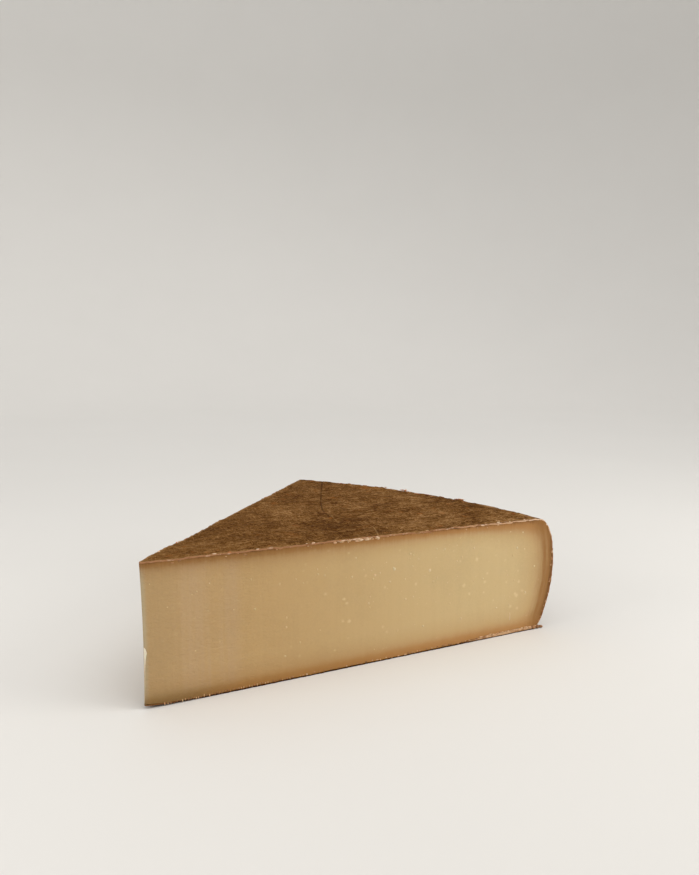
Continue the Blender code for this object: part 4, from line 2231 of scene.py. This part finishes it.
@dataclass(frozen=True)
class Studio:
    """Pale floor that curves up all round, soft lights and the camera."""

    wedge: Wedge
    lens: float = 28.8
    sensor: float = 36.0
    nearest: float = 0.01
    camera_from_tip: Size = (-0.06672, -0.4545, 0.22949)
    camera_yaw: float = math.radians(25.56)
    camera_pitch: float = math.radians(6.31)
    floor_radius: float = 2.6
    bend_radius: float = 2.2
    wall_height: float = 1.6
    floor_rows: int = 60
    floor_sides: int = 96
    sky: Colour = (1.0, 0.985, 0.965, 1.0)
    sky_strength: float = 0.76
    sun_from: Size = (0.28, -0.48, 1.0)
    sun_softness: float = math.radians(45)
    sun_strength: float = 0.9
    sun_colour: Size = (1.0, 0.975, 0.94)
    lamps: tuple[Lamp, ...] = (
        Lamp("key", (0.90, -0.75, 0.60), 0.6, 5.0, (1.0, 0.97, 0.92)),
        Lamp("rim", (-0.95, -0.10, 0.50), 0.4, 2.0, (1.0, 0.98, 0.95)),
    )
    aim: Size = (0.0, 0.0, 0.05)

    def linked(self, name: str, data: bpy.types.ID) -> bpy.types.Object:
        """A new object in the scene for a light's or a camera's data.

        Args:
            name: its name.
            data: the data.

        Returns:
            The object.
        """
        thing = bpy.data.objects.new(name, data)
        bpy.context.scene.collection.objects.link(thing)
        return thing

    def camera(self) -> None:
        """The camera, level, turned right from +Y and tipped down."""
        data = bpy.data.cameras.new("camera")
        data.lens = self.lens
        data.sensor_width = self.sensor
        data.clip_start = self.nearest
        camera = self.linked("camera", data)
        base = Vector((self.wedge.tip.x, self.wedge.tip.y, 0))
        camera.location = base + Vector(self.camera_from_tip)
        camera.rotation_euler = (math.pi / 2 - self.camera_pitch, 0, -self.camera_yaw)
        bpy.context.scene.camera = camera

    def light(self, lamp: Lamp) -> None:
        """A square soft light that points at the cheese.

        Args:
            lamp: its place, size, power and colour.
        """
        data = bpy.data.lights.new(lamp.name, "AREA")
        data.size = lamp.size
        data.energy = lamp.power
        data.color = lamp.colour
        light = self.linked(lamp.name, data)
        light.location = lamp.place
        aim = Vector(self.aim) - Vector(lamp.place)
        light.rotation_euler = aim.to_track_quat("-Z", "Y").to_euler()

    def sun(self) -> None:
        """A very soft even light from the right, above and a little in front."""
        data = bpy.data.lights.new("overhead", "SUN")
        data.angle = self.sun_softness
        data.energy = self.sun_strength
        data.color = self.sun_colour
        sun = self.linked("overhead", data)
        sun.rotation_euler = Vector(self.sun_from).to_track_quat("Z", "Y").to_euler()

    def world(self) -> None:
        """The pale sky."""
        world = bpy.data.worlds.new("studio")
        world.use_nodes = True
        sky = world.node_tree.nodes["Background"]
        sky.inputs["Color"].default_value = self.sky
        sky.inputs["Strength"].default_value = self.sky_strength
        bpy.context.scene.world = world

    def floor(self) -> Piece:
        """A round dish: level floor, quarter round, upright wall, mapped from a grid.

        Returns:
            The floor.
        """
        bpy.ops.mesh.primitive_grid_add(x_subdivisions=self.floor_rows,
                                        y_subdivisions=self.floor_sides, size=2)
        floor = added("studio_floor")
        points = points_of(floor)
        turn = math.pi * points[:, 1]
        bend = self.bend_radius * math.pi / 2
        run = (points[:, 0] + 1) / 2 * (self.floor_radius + bend + self.wall_height)
        swing = np.clip((run - self.floor_radius) / self.bend_radius, 0, math.pi / 2)
        radius = np.minimum(run, self.floor_radius) + self.bend_radius * np.sin(swing)
        height = self.bend_radius * (1 - np.cos(swing))
        height += np.clip(run - self.floor_radius - bend, 0, None)
        move_points(floor, np.column_stack((radius * np.cos(turn), radius * np.sin(turn), height)))
        face_out(floor, inside=True, weld=0.1 * MM)
        return finished(floor, FloorFinish())

    def build(self) -> None:
        """Sets up the floor, the world, the lights and the camera."""
        self.floor()
        self.world()
        self.sun()
        for lamp in self.lamps:
            self.light(lamp)
        bpy.context.scene.view_settings.view_transform = "Standard"
        self.camera()


def main() -> None:
    """Builds the pieces in order, attaches them and reports each one."""
    logging.basicConfig(level=logging.INFO, format="%(name)s: %(message)s")
    wedge = Wedge(tip=Vector((CAD_LOW.x, CAD_LOW.y, 0.0)))
    Studio(wedge).build()
    built = [
        (Paste(wedge).build(), "paste"),
        (Rind(wedge).build(), "rind"),
        (Crystals(wedge).build(), "paste"),
        (Crumbs(wedge).build(), "paste"),
        (TipSliver(wedge).build(), "paste"),
        (Flakes(wedge).build(), "rind"),
    ]
    for piece, slot in built:
        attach(piece, "root")
        log.info("%s: %d faces", piece.name, len(piece.data.polygons))
    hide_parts(NODE)


if __name__ == "__main__":
    main()
